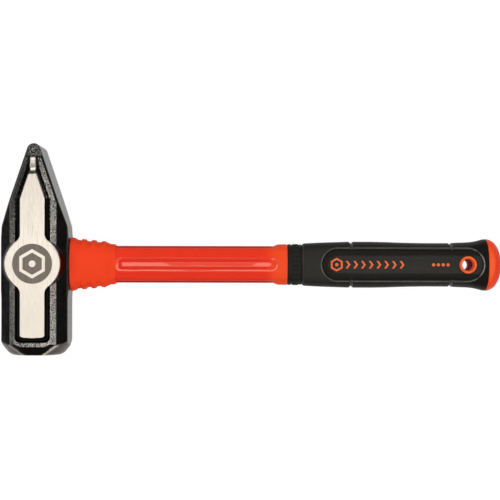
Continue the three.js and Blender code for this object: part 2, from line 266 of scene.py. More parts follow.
def section_angles():
    """Ray directions for the head's grid, dense where the cheek has edges."""
    xs = spaced([(0, 7.6, 0.9), (7.6, 8.5, 0.45), (8.5, 10.2, 0.22), (10.2, 11.2, 0.4), (11.2, 13.2, 0.24), (13.2, 16.2, 0.5),
                 (16.2, 17.6, 0.25), (17.6, 23.4, 0.62), (23.4, 24.3, 0.28)])
    zs = np.interp(xs, [0, 12.5, 24.3], [22.5, 22.5, 13.4])
    a = np.arctan2(xs, zs)
    side = np.arctan2(24.3, spaced([(0.0, 9.6, 1.2), (9.6, 12.2, 0.6), (12.2, 13.25, 0.26)])[::-1])
    q = np.concatenate([a, side[side > a[-1] + 1e-4]])
    q = np.unique(np.round(q, 7))
    full = np.concatenate([q, np.pi - q[:-1][::-1], np.pi + q[1:], 2 * np.pi - q[1:-1][::-1]])
    return np.unique(np.round(full, 7))


def build_head():
    th = section_angles()
    tip_c = TIP_Y - 5.03
    ys = spaced([(FACE_Y, FACE_Y + 1.2, 0.24), (FACE_Y + 1.2, -51.5, 0.42), (-51.5, -24, 0.75), (-24, -17, 0.5), (-17, 18, 0.6), (18, 24, 0.5),
                 (24, 30, 0.6), (30, 44, 0.75), (44, 80, 0.42)])
    arc = tip_c + 5.03 * np.sin(np.linspace(BETA, math.radians(88.3), 22))
    ys = np.concatenate([ys[ys < 79.8], np.linspace(80, arc[0] - 0.3, 10), arc])
    Y, TH = np.meshgrid(ys, th, indexing="ij")
    sx = np.where(Y > PEEN_Y, np.clip(half_width(Y) / HALF_X, 1e-3, None), 1.0)
    yy = Y - tip_c
    tipw = np.sqrt(np.clip(5.03**2 - np.clip(yy, 0, None) ** 2, 0.02, None))
    sx = np.where(yy > 5.03 * math.sin(BETA), tipw / HALF_X, sx)
    dx, dz = np.sin(TH) * sx, np.cos(TH)
    lo_r, hi_r = np.full(Y.shape, 3.0), np.full(Y.shape, 34.0)
    # walk in from outside, so that the outermost crossing is the one kept
    steps = np.linspace(34.0, 3.0, 90)
    found = np.zeros(Y.shape, bool)
    for s in steps:
        inside = head_solid(dx * s, Y, dz * s) <= 0
        new = inside & ~found
        lo_r[new] = s
        hi_r[new] = s + (steps[0] - steps[1])
        found |= inside
    for _ in range(22):
        mid = (lo_r + hi_r) / 2
        inside = head_solid(dx * mid, Y, dz * mid) <= 0
        lo_r = np.where(inside, mid, lo_r)
        hi_r = np.where(inside, hi_r, mid)
    R = (lo_r + hi_r) / 2
    P = np.stack([dx * R, Y, dz * R], axis=-1)
    # the striking face: flat rings inside the turned edge
    first = P[0]
    rr = np.hypot(first[:, 0], first[:, 2])
    face = []
    for f in (0.12, 0.3, 0.5, 0.7, 0.86, 0.96):
        q = first.copy()
        q[:, 0] *= f
        q[:, 2] *= f
        q[:, 1] = FACE_Y + 0.0 * f
        face.append(q)
    P = np.concatenate([np.array(face), P])
    x, y, z = P[..., 0], P[..., 1], P[..., 2]
    out, facet, edge, top, turn, moat, pad, d2, dm = head_parts(x, y, z)
    body = np.maximum(np.maximum(facet, edge), top)
    turned = sstep(turn - np.maximum(body, out), -0.28, -0.02)
    turned[:7] = 1
    ax = np.abs(x)
    channel = sstep(moat - body, -0.16, 0.05) * (np.abs(z) > 17.0) * (out < -0.35) * (y < 78.2) * (1 - turned)
    channel = np.maximum(channel, (np.maximum(body, moat) > 0.12) * (np.abs(z) < 23.3) * (np.abs(z) > 14) * (out < -0.3))
    rough = sstep(band_half(y) - ax, -0.12, 0.12) * (np.abs(z) > 17.2) * (out < -0.35) * (1 - channel) * (1 - turned)
    rough = rough * (1 - sstep(-d2, -0.9, 0.0))
    cap = sstep(y, 77.9, 78.5) * (np.abs(z) > 16.8) * (out < -0.5)
    rough = np.maximum(rough, cap)
    ramp = sstep(y, 65.3, 66.5) * (1 - sstep(y, 77.2, 77.7)) * sstep(-d2, -0.35, 0.05)
    bevel = sstep(y, 46.5, 48.5) * (1 - sstep(y, 66, 70)) * sstep(2.0 - d2, 0.0, 0.4) * (np.abs(z) > 21.0) * sstep(d2, -0.2, 0.1)
    bevel = np.maximum(bevel, sstep(1.6 - d2, 0.0, 0.3) * sstep(d2, -0.2, 0.1) * (np.abs(z) > 22.3) * (np.hypot(x, y - HUB_Y) < 21.6) * 0.6)
    ob = loft("forged_head", P, flip=True, attrs={"turned": turned, "rough": rough, "channel": channel, "ramp": np.maximum(ramp, 0.75 * bevel)})
    cutter = oval_bar("eye_cutter", -40, 40, 30.0, 21.0, 2.2, 96)
    boolean(ob, cutter)
    smooth_by_angle(ob, 50)
    return ob


def oval_points(h, w, n, count):
    a = np.linspace(0, 2 * np.pi, count, endpoint=False)
    c, s = np.cos(a), np.sin(a)
    return np.stack([np.sign(c) * np.abs(c) ** (2 / n) * h / 2, np.sign(s) * np.abs(s) ** (2 / n) * w / 2], axis=-1)


def oval_bar(name, x0, x1, h, w, n, count):
    yz = oval_points(h, w, n, count)
    rings = [np.column_stack([np.full(count, x), yz]) for x in (x0, x1)]
    return loft(name, rings)


# ------------------------------------------------------------------ handle sections
def edge_columns(h, w, n, ycols, k):
    """Points round a rounded-oval section: cheek columns stay at fixed y, the edges follow the curve."""
    ycols = np.asarray(ycols, float)
    a1 = math.acos(min(1, (abs(ycols[-1]) * 2 / h)) ** (n / 2))
    cheek_z = (w / 2) * (1 - np.clip(np.abs(2 * ycols / h), 0, 1) ** n) ** (1 / n)
    t = np.linspace(0, 1, k + 2)[1:-1]
    a = a1 * (1 - 2 * t)
    ey = (h / 2) * np.abs(np.cos(a)) ** (2 / n)
    ez = (w / 2) * np.sign(np.sin(a)) * np.abs(np.sin(a)) ** (2 / n)
    y = np.concatenate([ycols, ey, ycols[::-1], -ey[::1]])
    z = np.concatenate([cheek_z, ez, -cheek_z, -ez])
    return np.stack([y, z], axis=-1)


def ring_normals(yz):
    t = np.roll(yz, -1, axis=-2) - np.roll(yz, 1, axis=-2)
    n = np.stack([t[..., 1], -t[..., 0]], axis=-1)
    n /= np.maximum(np.linalg.norm(n, axis=-1, keepdims=True), 1e-9)
    out = np.sign((n * yz).sum(-1, keepdims=True))
    return n * np.where(out == 0, 1, out)


def shell(name, xs, yz, bore=None, attrs=None):
    """A sleeve with the outer rings yz (nx, na, 2) at xs; bore (height, width, power) makes it hollow right through."""
    nx, na = yz.shape[:2]
    X = np.asarray(xs, float)
    X = np.broadcast_to(X[:, None], (nx, na)) if X.ndim == 1 else X
    outer = np.concatenate([X[..., None], yz], axis=-1)
    if bore is None:
        return loft(name, outer, attrs=attrs)
    h, w, n = bore
    ang = np.arctan2(yz[nx // 2, :, 1] / w, yz[nx // 2, :, 0] / h)
    c, s = np.cos(ang), np.sin(ang)
    r = (np.abs(c) ** n + np.abs(s) ** n) ** (-1 / n)
    byz = np.stack([r * c * h / 2, r * s * w / 2], axis=-1)
    inner = [np.column_stack([X[-1] * (1 - t) + X[0] * t, byz]) for t in np.linspace(0, 1, 5)]
    rings = np.concatenate([outer, np.array(inner)])
    v = row(rings.reshape(-1, 3))
    faces = [tuple(int(i) for i in f) for f in grid_faces(len(rings), na, closed_rings=True)]
    ob = make_mesh(name, v, faces)
    if attrs:
        for key, val in attrs.items():
            full = np.concatenate([np.asarray(val, float), np.zeros((5, na))])
            at = ob.data.attributes.new(key, "FLOAT", "POINT")
            at.data.foreach_set("value", full.astype(np.float32).reshape(-1))
    recalc(ob)
    return ob


GUARD_H = curve([(25.2, 39.2), (26.0, 39.7), (27.2, 39.4), (28.8, 38.4), (30.2, 36.3), (32.3, 35.7), (33.4, 35.5), (36.3, 34.9), (37.6, 34.4),
                 (39.9, 34.0), (41.0, 33.7), (43.0, 33.3), (44.9, 33.0), (47.1, 32.6), (49.6, 32.2), (51.6, 31.8), (53.1, 31.2), (54.5, 30.1),
                 (55.3, 29.9), (57.4, 29.8), (58.2, 29.0), (58.7, 28.0), (59.0, 27.3)], 0.35)
GUARD_W = curve([(25, 25.0), (35, 24.2), (45, 23.2), (55, 21.9), (58.9, 21.45), (60, 21.4)], 2)


def guard_ribs(x):
    r = 0
    for c, half, amp, fade in ((35.15, 2.15, 1.02, 1.05), (42.3, 2.2, 1.18, 1.1), (49.25, 1.95, 0.85, 1.1)):
        r = r + amp * (1 - sstep(np.abs(x - c), half - fade, half))
    # the last rib runs out in a slant instead of a step
    r = r + 0.55 * sstep(x, 49.4, 50.6) * (1 - sstep(x, 50.8, 53.8))
    return r


def build_guard():
    xs = spaced([(25.15, 25.9, 0.12), (25.9, 31.5, 0.3), (31.5, 52, 0.28), (52, 58.0, 0.3), (58.0, 58.94, 0.12)])
    ring = []
    for x in xs:
        h, w = float(GUARD_H(x)), float(GUARD_W(x))
        if x < 25.9:
            q = 1 - (25.9 - x) / 0.75
            pull = 0.7 * (1 - math.sqrt(max(0, 1 - (1 - q) ** 2)))
            h, w = h - 2 * pull * 0.6, w - 2 * pull
        yz = edge_columns(h, w, 2.75, np.concatenate([-np.linspace(9, 0, 9)[:-1], np.linspace(0, 9, 9)]), 62)
        u = np.abs(yz[:, 0]) / (h / 2)
        fade = sstep(u, 0.70, 0.92)
        amp = guard_ribs(np.array([x]))[0]
        # valleys between the ribs are pressed in a little, which the cheek doesn't share
        valley = -0.05 * sstep(x, 30.5, 32) * (1 - sstep(x, 50, 52))
        yz = yz + ring_normals(yz) * ((amp + valley) * fade)[:, None]
        ring.append(yz)
    ob = shell("ribbed_guard", xs, np.array(ring), bore=(25.0, 18.6, 2.9))
    smooth_by_angle(ob, 60)
    return ob


# shaft


def polar(yz_h, yz_w, n, phi):
    c, s = np.cos(phi), np.sin(phi)
    return (np.abs(c / (yz_h / 2)) ** n + np.abs(s / (yz_w / 2)) ** n) ** (-1 / n)


def slot_distance(x, y, x0, x1, half):
    """Distance to a round-ended slot outline, negative inside."""
    cx = np.clip(x, x0 + half, x1 - half)
    return np.hypot(x - cx, y) - half


def squarish_slot(x, y, x0, x1, half, r0):
    """As slot_distance, with the x0 end a rounded square of corner radius r0."""
    d = slot_distance(x, y, x0, x1, half)
    cx, cy = np.maximum(x0 + r0 - x, 0), np.maximum(np.abs(y) - half + r0, 0)
    sq = np.hypot(cx, cy) - r0 + np.minimum(np.maximum(x0 + r0 - x - 0, np.abs(y) - half + r0), 0)
    return np.where(x < (x0 + x1) / 2, sq, d)


def shaft_section(h, w, phi, flare):
    """A flat-cheeked section with a steep strip along each corner; the flared end is a plain rounded oval."""
    c, s = np.abs(np.cos(phi)), np.abs(np.sin(phi))
    a, b = h / 2, w / 2
    nx, ny = 0.9297, 0.3684
    off = (a - 2.15) * nx + (b - 0.75) * ny
    p = 24.0
    flat = ((c / a) ** p + (s / b) ** p + ((nx * c + ny * s) / off) ** p) ** (-1 / p)
    oval = ((c / a) ** 2.8 + (s / b) ** 2.8) ** (-1 / 2.8)
    return flat * (1 - flare) + oval * flare


RIB_HALF = 4.4  # centre line of the raised track


def build_jacket():
    H = curve([(59, 27.25), (174.6, 27.25), (175.4, 27.7), (176.6, 29.1), (177.6, 29.7), (179, 29.95), (184.0, 30.2), (184.8, 30.15)], 0.35)
    Wd = curve([(59, 21.4), (150, 21.4), (172, 21.8), (180, 23.2), (184.8, 24.0)], 2)
    xs = spaced([(59.0, 63.9, 0.26), (63.9, 66, 0.7), (66, 168, 2.5), (168, 173, 0.8), (173, 183.95, 0.27), (183.95, 184.85, 0.3)])
    yl = spaced([(0, 3.2, 0.5), (3.2, 5.6, 0.16), (5.6, 10.6, 0.6), (10.6, 11.8, 0.3)])
    phi_c = np.arctan2(10.3, yl)  # angles that hit these heights on the cheek
    phi_e = np.linspace(phi_c[-1], 0, 40)[1:]
    q = np.concatenate([phi_c, phi_e])  # from pi/2 down to 0
    phi = np.unique(np.round(np.concatenate([q, np.pi - q, -q, np.pi + q]) % (2 * np.pi), 7))
    ring, painted_light_masks = [], []
    for x in xs:
        h, w = float(H(x)), float(Wd(x))
        r = shaft_section(h, w, phi, sstep(x, 173.8, 178.6))
        if x > 183.95:
            r = r - 0.42 * min(1.0, (x - 183.95) / 0.85)
        y, z = r * np.cos(phi), r * np.sin(phi)
        cheek = np.abs(z) > 6
        z = z - np.sign(z) * np.where(cheek, 0.0046 * y * y, 0) * (1 - sstep(x, 172, 180) * 0.6)
        d = squarish_slot(x, y, 60.1, 177.3, RIB_HALF, 2.6)
        floor = -0.42 * sstep(-d, 0.1, 0.9)
        z = z + np.sign(z) * np.where(cheek, floor, 0)
        ring.append(np.stack([y, z], axis=-1))
        # masks for the painted shade on the slot floor (groove) and the painted sheen on the collar, passed to the
        # material
        groove = sstep(-d, 0.4, 0.8)
        collar = sstep(x, 167.0, 178.0)
        painted_light_masks.append(np.stack([np.full(len(phi), collar), np.where(cheek, groove, 0)]))
    # the part beneath the guard and beneath the grip, out of sight, follows the CAD solid
    xs_full = [25.4, 58.99] + list(xs) + [184.87, 328.0]
    def hidden(h, w):
        r = polar(h, w, 2.9, phi)
        return np.stack([r * np.cos(phi), r * np.sin(phi)], axis=-1)
    rings = [hidden(24.4, 18.0)] * 2 + ring + [hidden(25.2, 19.0)] * 2
    none = np.zeros(len(phi))
    g = np.array([none] * 2 + [k[0] for k in painted_light_masks] + [none] * 2)
    gr = np.array([none] * 2 + [k[1] for k in painted_light_masks] + [none] * 2)
    ob = shell("shaft_jacket", xs_full, np.array(rings), attrs={"bar": g, "groove": gr})
    boolean(ob, oval_bar("bore", 20, 302.3, 21.6, 15.6, 2.2, 64))
    boolean(ob, round_bar("hang", HANG_X, 6.8, 30, 64))
    boolean(ob, oval_bar("pocket", 325.3, 340, 15.6, 11.1, 2.4, 48))
    smooth_by_angle(ob, 42)
    return ob


def cheek_height(x, y):
    """The jacket's flat cheek above the middle plane, for small y."""
    w = np.interp(x, [59, 150, 172, 180, 184.8], [21.4, 21.4, 21.8, 23.2, 24.0]) / 2
    return w - 0.0046 * y * y * (1 - 0.6 * sstep(x, 172, 180)) - 0.09 * sstep(x, 173.8, 178.6) * (y / 4.0) ** 2


def build_track():
    """The raised loop and the long bar inside it, on both cheeks."""
    bm = bmesh.new()

    def body(rings, loop):
        vs = [[bm.verts.new(tuple(row(p))) for p in r] for r in rings]
        n = len(vs[0])
        for i in range(len(vs) if loop else len(vs) - 1):
            a, b = vs[i], vs[(i + 1) % len(vs)]
            for j in range(n):
                bm.faces.new((a[j], a[(j + 1) % n], b[(j + 1) % n], b[j]))
        if not loop:
            bm.faces.new(vs[0][::-1])
            bm.faces.new(vs[-1])

    # centre line of the loop: a squarish end near the guard, a round end near the collar
    pts = []
    r0, h, xa, xb = 2.6, RIB_HALF, 60.1, 177.3
    for a in np.linspace(math.pi / 2, math.pi, 13):
        pts.append((xa + r0 + r0 * math.cos(a), h - r0 + r0 * math.sin(a)))
    for a in np.linspace(math.pi, 1.5 * math.pi, 13):
        pts.append((xa + r0 + r0 * math.cos(a), -h + r0 + r0 * math.sin(a)))
    pts += [(x, -h) for x in np.arange(66, xb - h - 0.5, 2.0)]
    for a in np.linspace(-math.pi / 2, math.pi / 2, 33):
        pts.append((xb - h + h * math.cos(a), h * math.sin(a)))
    pts += [(x, h) for x in np.arange(66, xb - h - 0.5, 2.0)[::-1]]
    p = np.array(pts)
    t = np.roll(p, -1, axis=0) - np.roll(p, 1, axis=0)
    t /= np.linalg.norm(t, axis=1, keepdims=True)
    nrm = np.stack([t[:, 1], -t[:, 0]], axis=-1)
    for sign in (1, -1):
        rings = []
        for (x, y), q in zip(p, nrm):
            wide = 1 + 0.45 * float(1 - sstep(x, 60.6, 63.5))
            hw = 0.84 * wide
            ring = []
            for u, lift in ((-1.0, -0.75), (-1.0, 0.0), (-0.92, 0.17), (-0.80, 0.26), (-0.70, 0.285), (-0.4, 0.297), (0.0, 0.302), (0.4, 0.297), (0.70, 0.285), (0.80, 0.26), (0.92, 0.17), (1.0, 0.0), (1.0, -0.75)):
                px, py = x + q[0] * u * hw, y + q[1] * u * hw
                tilt = 0.07 - 0.12 * math.exp(-(((x - 118) / 13.0) ** 2)) if y < 2.0 else 0.07 * float(sstep(x, 168, 174))
                # the run nearer the peen leans outwards a little
                lean = -0.16 * u * float(sstep(y, 2.0, 4.0)) * float(1 - sstep(x, 168, 174)) if lift >= 0 else 0.0
                ring.append((px, py, sign * (float(cheek_height(x, y)) + lift + lean + (tilt * q[1] * u * hw if lift >= 0 else 0.0))))
            rings.append(ring)
        body(rings, True)
        # the bar: crowned, and slightly twisted along its length
        twist = curve([(60, 0.036), (93, 0.036), (101, -0.030), (112, -0.040), (121, -0.018), (128, -0.040), (140, -0.026), (150, -0.042), (158, -0.034), (163, 0.034), (176, 0.036)], 2.5)
        rings = []
        for x in spaced([(63.5, 64.1, 0.12), (64.1, 170.6, 0.9), (170.6, 173.1, 0.14)]):
            half = 1.62
            if x < 64.1:
                half = 1.62 - 0.28 * ((64.1 - x) / 0.6) ** 2
            if x > 171.5:
                half = math.sqrt(max(0.02, 1.62 ** 2 - (x - 171.5) ** 2))
            tw, base = float(twist(x)), float(cheek_height(x, 0.0))
            end = 0.16 * float(1 - sstep(x, 63.5, 63.95)) + 0.16 * float(sstep(x, 172.6, 173.1))
            ring = [(x, -half, sign * (base - 0.75))]
            for u in np.linspace(-1, 1, 15):
                y = u * half
                z = base + 0.26 - 0.0105 * y * y + tw * y - end
                if abs(u) > 0.999:
                    z -= 0.14
                ring.append((x, y, sign * z))
            ring.append((x, half, sign * (base - 0.75)))
            rings.append(ring)
        body(rings, False)
    bmesh.ops.recalc_face_normals(bm, faces=bm.faces)
    me = bpy.data.meshes.new("track")
    bm.to_mesh(me)
    bm.free()
    ob = bpy.data.objects.new("raised_track", me)
    bpy.context.scene.collection.objects.link(ob)
    smooth_by_angle(ob, 40)
    return ob


def round_bar(name, x, r, half, count):
    a = np.linspace(0, 2 * np.pi, count, endpoint=False)
    rings = [np.column_stack([x + r * np.cos(a), r * np.sin(a), np.full(count, z)]) for z in (-half, half)]
    return loft(name, rings)


# grip
GRIP_H = curve([(195.9, 30.6), (196.6, 31.2), (199, 31.55), (205, 32.2), (212, 32.8), (220, 33.3), (230, 33.95), (246, 34.0), (258, 33.55),
                (266, 32.9), (276, 32.4), (286, 32.1), (298, 32.1), (305.5, 32.25), (310, 32.9), (316, 33.25), (320, 33.8), (324, 35.0), (327, 36.3), (329.5, 37.5),
                (331.5, 38.1)], 1.2)
GRIP_W = curve([(195.9, 24.2), (212, 25.6), (232, 26.8), (258, 28.0), (284, 29.3), (306, 30.2), (316, 30.3), (331.5, 30.3)], 3)
GRIP_N = curve([(195.9, 2.7), (215, 2.95), (300, 2.95), (331.5, 2.7)], 4)
HANG_X = 316.4
RECESS = dict(x0=209.9, x1=327.8, half=11.75)
PANEL = dict(x0=215.1, half=6.7)


def panel_floor(x):
    return np.interp(x, [210.0, 327.6], [25.4, 30.3]) / 2 - 0.8


def notch_depth(x):
    d = 0
    for c in (231.9, 304.9):
        d = d + np.clip(1 - np.abs(x - c) / 1.75, 0, 1)
    return d


def build_grip():
    xs = spaced([(195.9, 197.2, 0.16), (197.2, 209, 1.0), (209, 222, 0.3), (222, 229.6, 0.8), (229.6, 234.2, 0.2), (234.2, 302.6, 1.9),
                 (302.6, 307.2, 0.2), (307.2, 315, 0.5), (315, 328.6, 0.3), (328.6, 331.2, 0.4), (331.2, 331.5, 0.1)])
    yl = spaced([(0, 5.8, 0.95), (5.8, 7.6, 0.2), (7.6, 10.4, 0.4), (10.4, 12.6, 0.14)])
    ycols = np.concatenate([-yl[::-1][:-1], yl])
    ring, line, deep = [], [], []
    for x in xs:
        h, w, n = float(GRIP_H(x)), float(GRIP_W(x)), float(GRIP_N(x))
        if x < 197.2:
            q = 1 - (x - 195.9) / 1.3
            pull = 1.3 * q ** 1.6
            h, w = h - pull, w - pull
        if x > 331.2:
            h, w = h - 0.5 * (x - 331.2) / 0.3, w - 0.5 * (x - 331.2) / 0.3
        yz = edge_columns(h, w, n, ycols, 40)
        nrm = ring_normals(yz)
        y, z = yz[:, 0], yz[:, 1]
        d = slot_distance(x, y, RECESS["x0"], RECESS["x1"], RECESS["half"])
        cheek = np.abs(z) > 4.0
        # a fine raised lip at the outline, then the channel inside it
        lip = 0.28 * np.exp(-((d - 0.35) / 0.38) ** 2)
        channel = -1.05 * sstep(-d, -0.05, 0.85)
        disp = np.where(cheek & (d < 3), lip * (1 - np.clip(notch_depth(x) * 1.5, 0, 1)) + channel, 0.0)
        # the seat of the flat panel
        dp = np.where(x < 260, slot_distance(x, y, PANEL["x0"], 400, PANEL["half"]), np.abs(y) - PANEL["half"])
        seat = sstep(-dp, -0.35, 0.1) * (x < 309.0 + 0.0 * y)
        disp = disp - np.where(cheek, 0.35 * seat, 0)
        # V notches cross the edges from one recess to the other
        nd = notch_depth(x)
        disp = disp - 1.45 * nd * np.where(cheek, sstep(d, -0.6, 0.3), 1.0)
        yz = yz + nrm * disp[:, None]
        ring.append(yz)
        # painted highlights, carried by the line attribute: the lip (lit), brighter at its round ends, the panel rim
        # (inner), the notch edges (edge_nd) and the start of the grip
        lit = np.exp(-((d - 0.42) / 0.34) ** 2) * (1 - np.clip(nd * 2.0, 0, 1))
        near = float(1 - sstep(x, RECESS["x0"] + 3, RECESS["x0"] + 7.5))
        far = float(sstep(x, RECESS["x1"] - 8, RECESS["x1"] - 5))
        round_end = 0.75 + 0.35 * near + 1.5 * far
        round_end = round_end * (1 - max(far, 0.6 * near) * 0.9 * np.exp(-((np.abs(y) - 9.2) / 1.7) ** 2))
        # painted shade, carried by the deep attribute: the channel inside the outline; outer_end also darkens the
        # rubber outside the outline towards the far end
        inside = sstep(-d, 0.15, 0.55) * sstep(dp, 0.0, 0.4) * 0.72 + 0.28 * sstep(-d, 0.1, 0.35) * (1 - sstep(-d, 0.9, 1.4))
        outer_end = 1.0 * float(sstep(x, 313, 322)) * sstep(d, 0.6, 1.4)
        deep.append(np.where(cheek, np.maximum(inside, outer_end), outer_end))
        inner = 0.30 * np.exp(-((dp - 0.16) / 0.24) ** 2) * (x < 309)
        edge_nd = 0.8 * np.exp(-(((nd - 0.72) / 0.2) ** 2)) * (nd > 0) * (d > -0.3)
        start = 0.7 * math.exp(-((x - 196.15) / 0.22) ** 2)
        line.append(np.where(cheek, np.maximum(lit * round_end, inner) + edge_nd, edge_nd) + start)
    ring = np.array(ring)
    # the far end is cut to a shallow curve, set back at the two edges
    back = sstep(xs, 322.0, 331.5)[:, None] * 0.95 * (np.abs(ring[..., 0]) / 19.0) ** 2
    X = np.broadcast_to(xs[:, None], back.shape) - back
    ob = shell("rubber_grip", X, ring, bore=(25.8, 19.6, 2.9), attrs={"line": np.array(line), "deep": np.array(deep)})
    boolean(ob, round_bar("hang", HANG_X, 6.62, 30, 72))
    smooth_by_angle(ob, 48)
    return ob


def build_nose():
    xs = spaced([(184.95, 185.7, 0.15), (185.7, 188.2, 0.5), (188.2, 194.4, 0.22), (194.4, 195.84, 0.12)])
    k = 232
    a = np.linspace(0, 2 * np.pi, k, endpoint=False)
    # even spacing round the section
    fine = np.linspace(0, 2 * np.pi, 4000)
    r = polar(30.0, 24.0, 2.7, fine)
    px, py = r * np.cos(fine), r * np.sin(fine)
    s = np.concatenate([[0], np.cumsum(np.hypot(np.diff(px), np.diff(py)))])
    phi = np.interp(np.linspace(0, s[-1], k, endpoint=False), s, fine)
    arc = np.linspace(0, 1, k, endpoint=False)
    n_bars = 29
    pos = (arc * n_bars) % 1.0
    bar_u = 1 - sstep(np.abs(pos - 0.5), 0.16, 0.27)
    ring = []
    for x in xs:
        h, w = 30.15, 24.1
        if x < 185.7:
            q = 1 - (x - 184.95) / 0.75
            h, w = h - 1.1 * q * q, w - 1.1 * q * q
        if x > 194.4:
            q = (x - 194.4) / 1.44
            h, w = h - 1.9 * q ** 1.5, w - 1.9 * q ** 1.5
        rr = polar(h, w, 2.7, phi)
        yz = np.stack([rr * np.cos(phi), rr * np.sin(phi)], axis=-1)
        groove = -0.36 * sstep(x, 187.0, 187.6) * (1 - sstep(x, 193.9, 194.5))
        lift = 0.46 * sstep(x, 188.6, 189.0) * (1 - sstep(x, 192.7, 193.1)) * bar_u
        yz = yz + ring_normals(yz) * (groove + lift)[:, None]
        ring.append(yz)
    ob = shell("nose_ring", xs, np.array(ring), bore=(25.8, 19.6, 2.9))
    smooth_by_angle(ob, 50)
    return ob


def build_butt():
    prof = [(331.75, 37.6, 29.8), (332.0, 38.1, 30.3), (332.4, 38.25, 30.45), (333.0, 38.2, 30.45), (333.8, 37.85, 30.3), (334.6, 37.2, 30.0), (335.6, 36.0, 29.4), (336.6, 34.4, 28.5),
            (337.6, 32.4, 27.3), (338.5, 30.2, 25.9), (339.4, 27.6, 24.1), (340.2, 24.7, 22.0), (340.9, 21.5, 19.6), (341.4, 18.6, 17.2),
            (341.8, 15.5, 14.6), (342.1, 11.8, 11.3), (342.25, 7.6, 7.3), (342.3, 3.0, 2.9)]
    px, ph, pw = np.array(prof).T
    s = np.concatenate([[0], np.cumsum(np.hypot(np.diff(px), np.diff(ph) / 2))])
    t = np.concatenate([np.linspace(0, s[3], 12)[:-1], np.linspace(s[3], s[-1], 60)])
    k = 132
    fine = np.linspace(0, 2 * np.pi, 4000)
    r = polar(38.0, 30.3, 2.7, fine)
    cx, cy = r * np.cos(fine), r * np.sin(fine)
    sl = np.concatenate([[0], np.cumsum(np.hypot(np.diff(cx), np.diff(cy)))])
    phi = np.interp(np.linspace(0, sl[-1], k, endpoint=False), sl, fine)
    rings = []
    for q in t:
        x, h, w = np.interp(q, s, px), np.interp(q, s, ph), np.interp(q, s, pw)
        n = np.interp(x, [331, 338, 342], [2.7, 2.5, 2.1])
        rr = polar(h, w, n, phi)
        y = rr * np.cos(phi)
        back = 0.95 * (np.abs(y) / 19.0) ** 2 * (1 - sstep(x, 333.0, 338.0))
        rings.append(np.column_stack([x - back, y, rr * np.sin(phi)]))
    tenon = []
    for x in (325.6, 331.75):
        rr = polar(15.0, 10.5, 2.4, phi)
        tenon.append(np.column_stack([np.full(k, x), rr * np.cos(phi), rr * np.sin(phi)]))
    ob = loft("butt_dome", np.array(tenon + rings))
    smooth_by_angle(ob, 40)
    return ob


def build_bush():
    half = 15.4
    # rounded lip: from the bore, over the top, down the outside
    prof = [(4.0, 0.0), (4.0, half - 3.0), (4.06, half - 2.3), (4.22, half - 1.55), (4.46, half - 0.9), (4.78, half - 0.4),
            (5.15, half - 0.1), (5.5, half), (5.85, half - 0.1), (6.15, half - 0.38), (6.35, half - 0.8), (6.42, half - 1.3)]
    full = [(r, z) for r, z in prof] + [(r, -z) for r, z in prof[::-1]][:-1]
    k = 84
    a = np.linspace(0, 2 * np.pi, k, endpoint=False)
    rings = np.array([np.column_stack([HANG_X + r * np.cos(a), r * np.sin(a), np.full(k, z)]) for r, z in full])
    v = row(rings.reshape(-1, 3))
    ob = make_mesh("hang_bush", v, [tuple(int(i) for i in f) for f in grid_faces(len(rings), k, closed_rings=True)])
    recalc(ob)
    smooth_by_angle(ob, 60)
    return ob


def build_panel(sign):
    """The flat insert: slot outline with a bevelled rim, ending in a hollow against the bush."""
    out = []
    half, x0 = PANEL["half"] - 0.12, PANEL["x0"] + 0.12
    for a in np.linspace(math.pi / 2, 3 * math.pi / 2, 41):
        out.append((x0 + half + half * math.cos(a), half * math.sin(a)))
    out += [(x, -half) for x in (240.0, 265.0, 290.0, 313.8)]
    out += [(x, half) for x in (313.8, 290.0, 265.0, 240.0)]
    pts = np.array(out)
    bevel = 0.38
    c = []
    n = len(pts)
    for i in range(n):
        p0, p1, p2 = pts[i - 1], pts[i], pts[(i + 1) % n]
        t = (p2 - p0) / max(np.linalg.norm(p2 - p0), 1e-9)
        c.append(p1 + np.array([-t[1], t[0]]) * bevel)
    inner = np.array(c)
    top = lambda p: panel_floor(p[:, 0]) + 0.42
    levels = [(pts, panel_floor(pts[:, 0]) - 0.62), (pts, panel_floor(pts[:, 0]) + 0.1), (pts * 0.35 + inner * 0.65, top(pts) - 0.07), (inner, top(inner))]
    rings = [np.column_stack([p, z * sign]) for p, z in levels]
    ob = loft("panel_" + ("upper" if sign > 0 else "lower"), np.array(rings))
    boolean(ob, round_bar("hollow", HANG_X, 7.05, 30, 96))
    smooth_by_angle(ob, 50)
    return ob


def build_core():
    yz = oval_points(21.0, 15.0, 2.2, 96)
    rings = [np.column_stack([np.full(96, x), yz * s]) for x, s in ((-23.6, 0.965), (-23.35, 0.995), (-23.0, 1.0), (100, 1.0), (302, 1.0))]
    ob = loft("glass_core", np.array(rings))
    smooth_by_angle(ob, 50)
    return ob


def build_resin():
    """A cured ring with a sunken, slightly climbing surface at each mouth of the eye."""
    n = 96
    eye = oval_points(29.9, 20.9, 2.2, n)
    core = oval_points(21.1, 15.1, 2.2, n)
    def ring(x, f):
        yz = core * (1 - f) + eye * f
        return np.column_stack([np.full(n, x), yz])
    left = [ring(-23.45, 0.0), ring(-23.2, 0.12), ring(-22.95, 0.35), ring(-22.95, 0.65), ring(-23.15, 0.9), ring(-23.4, 1.0)]
    right = [ring(23.9, 1.0), ring(23.7, 0.6), ring(23.7, 0.3), ring(23.9, 0.0)]
    rings = np.array(left + right)
    v = row(rings.reshape(-1, 3))
    ob = make_mesh("cured_resin", v, [tuple(int(i) for i in f) for f in grid_faces(len(rings), n, closed_rings=True)])
    recalc(ob)
    smooth_by_angle(ob, 55)
    return ob


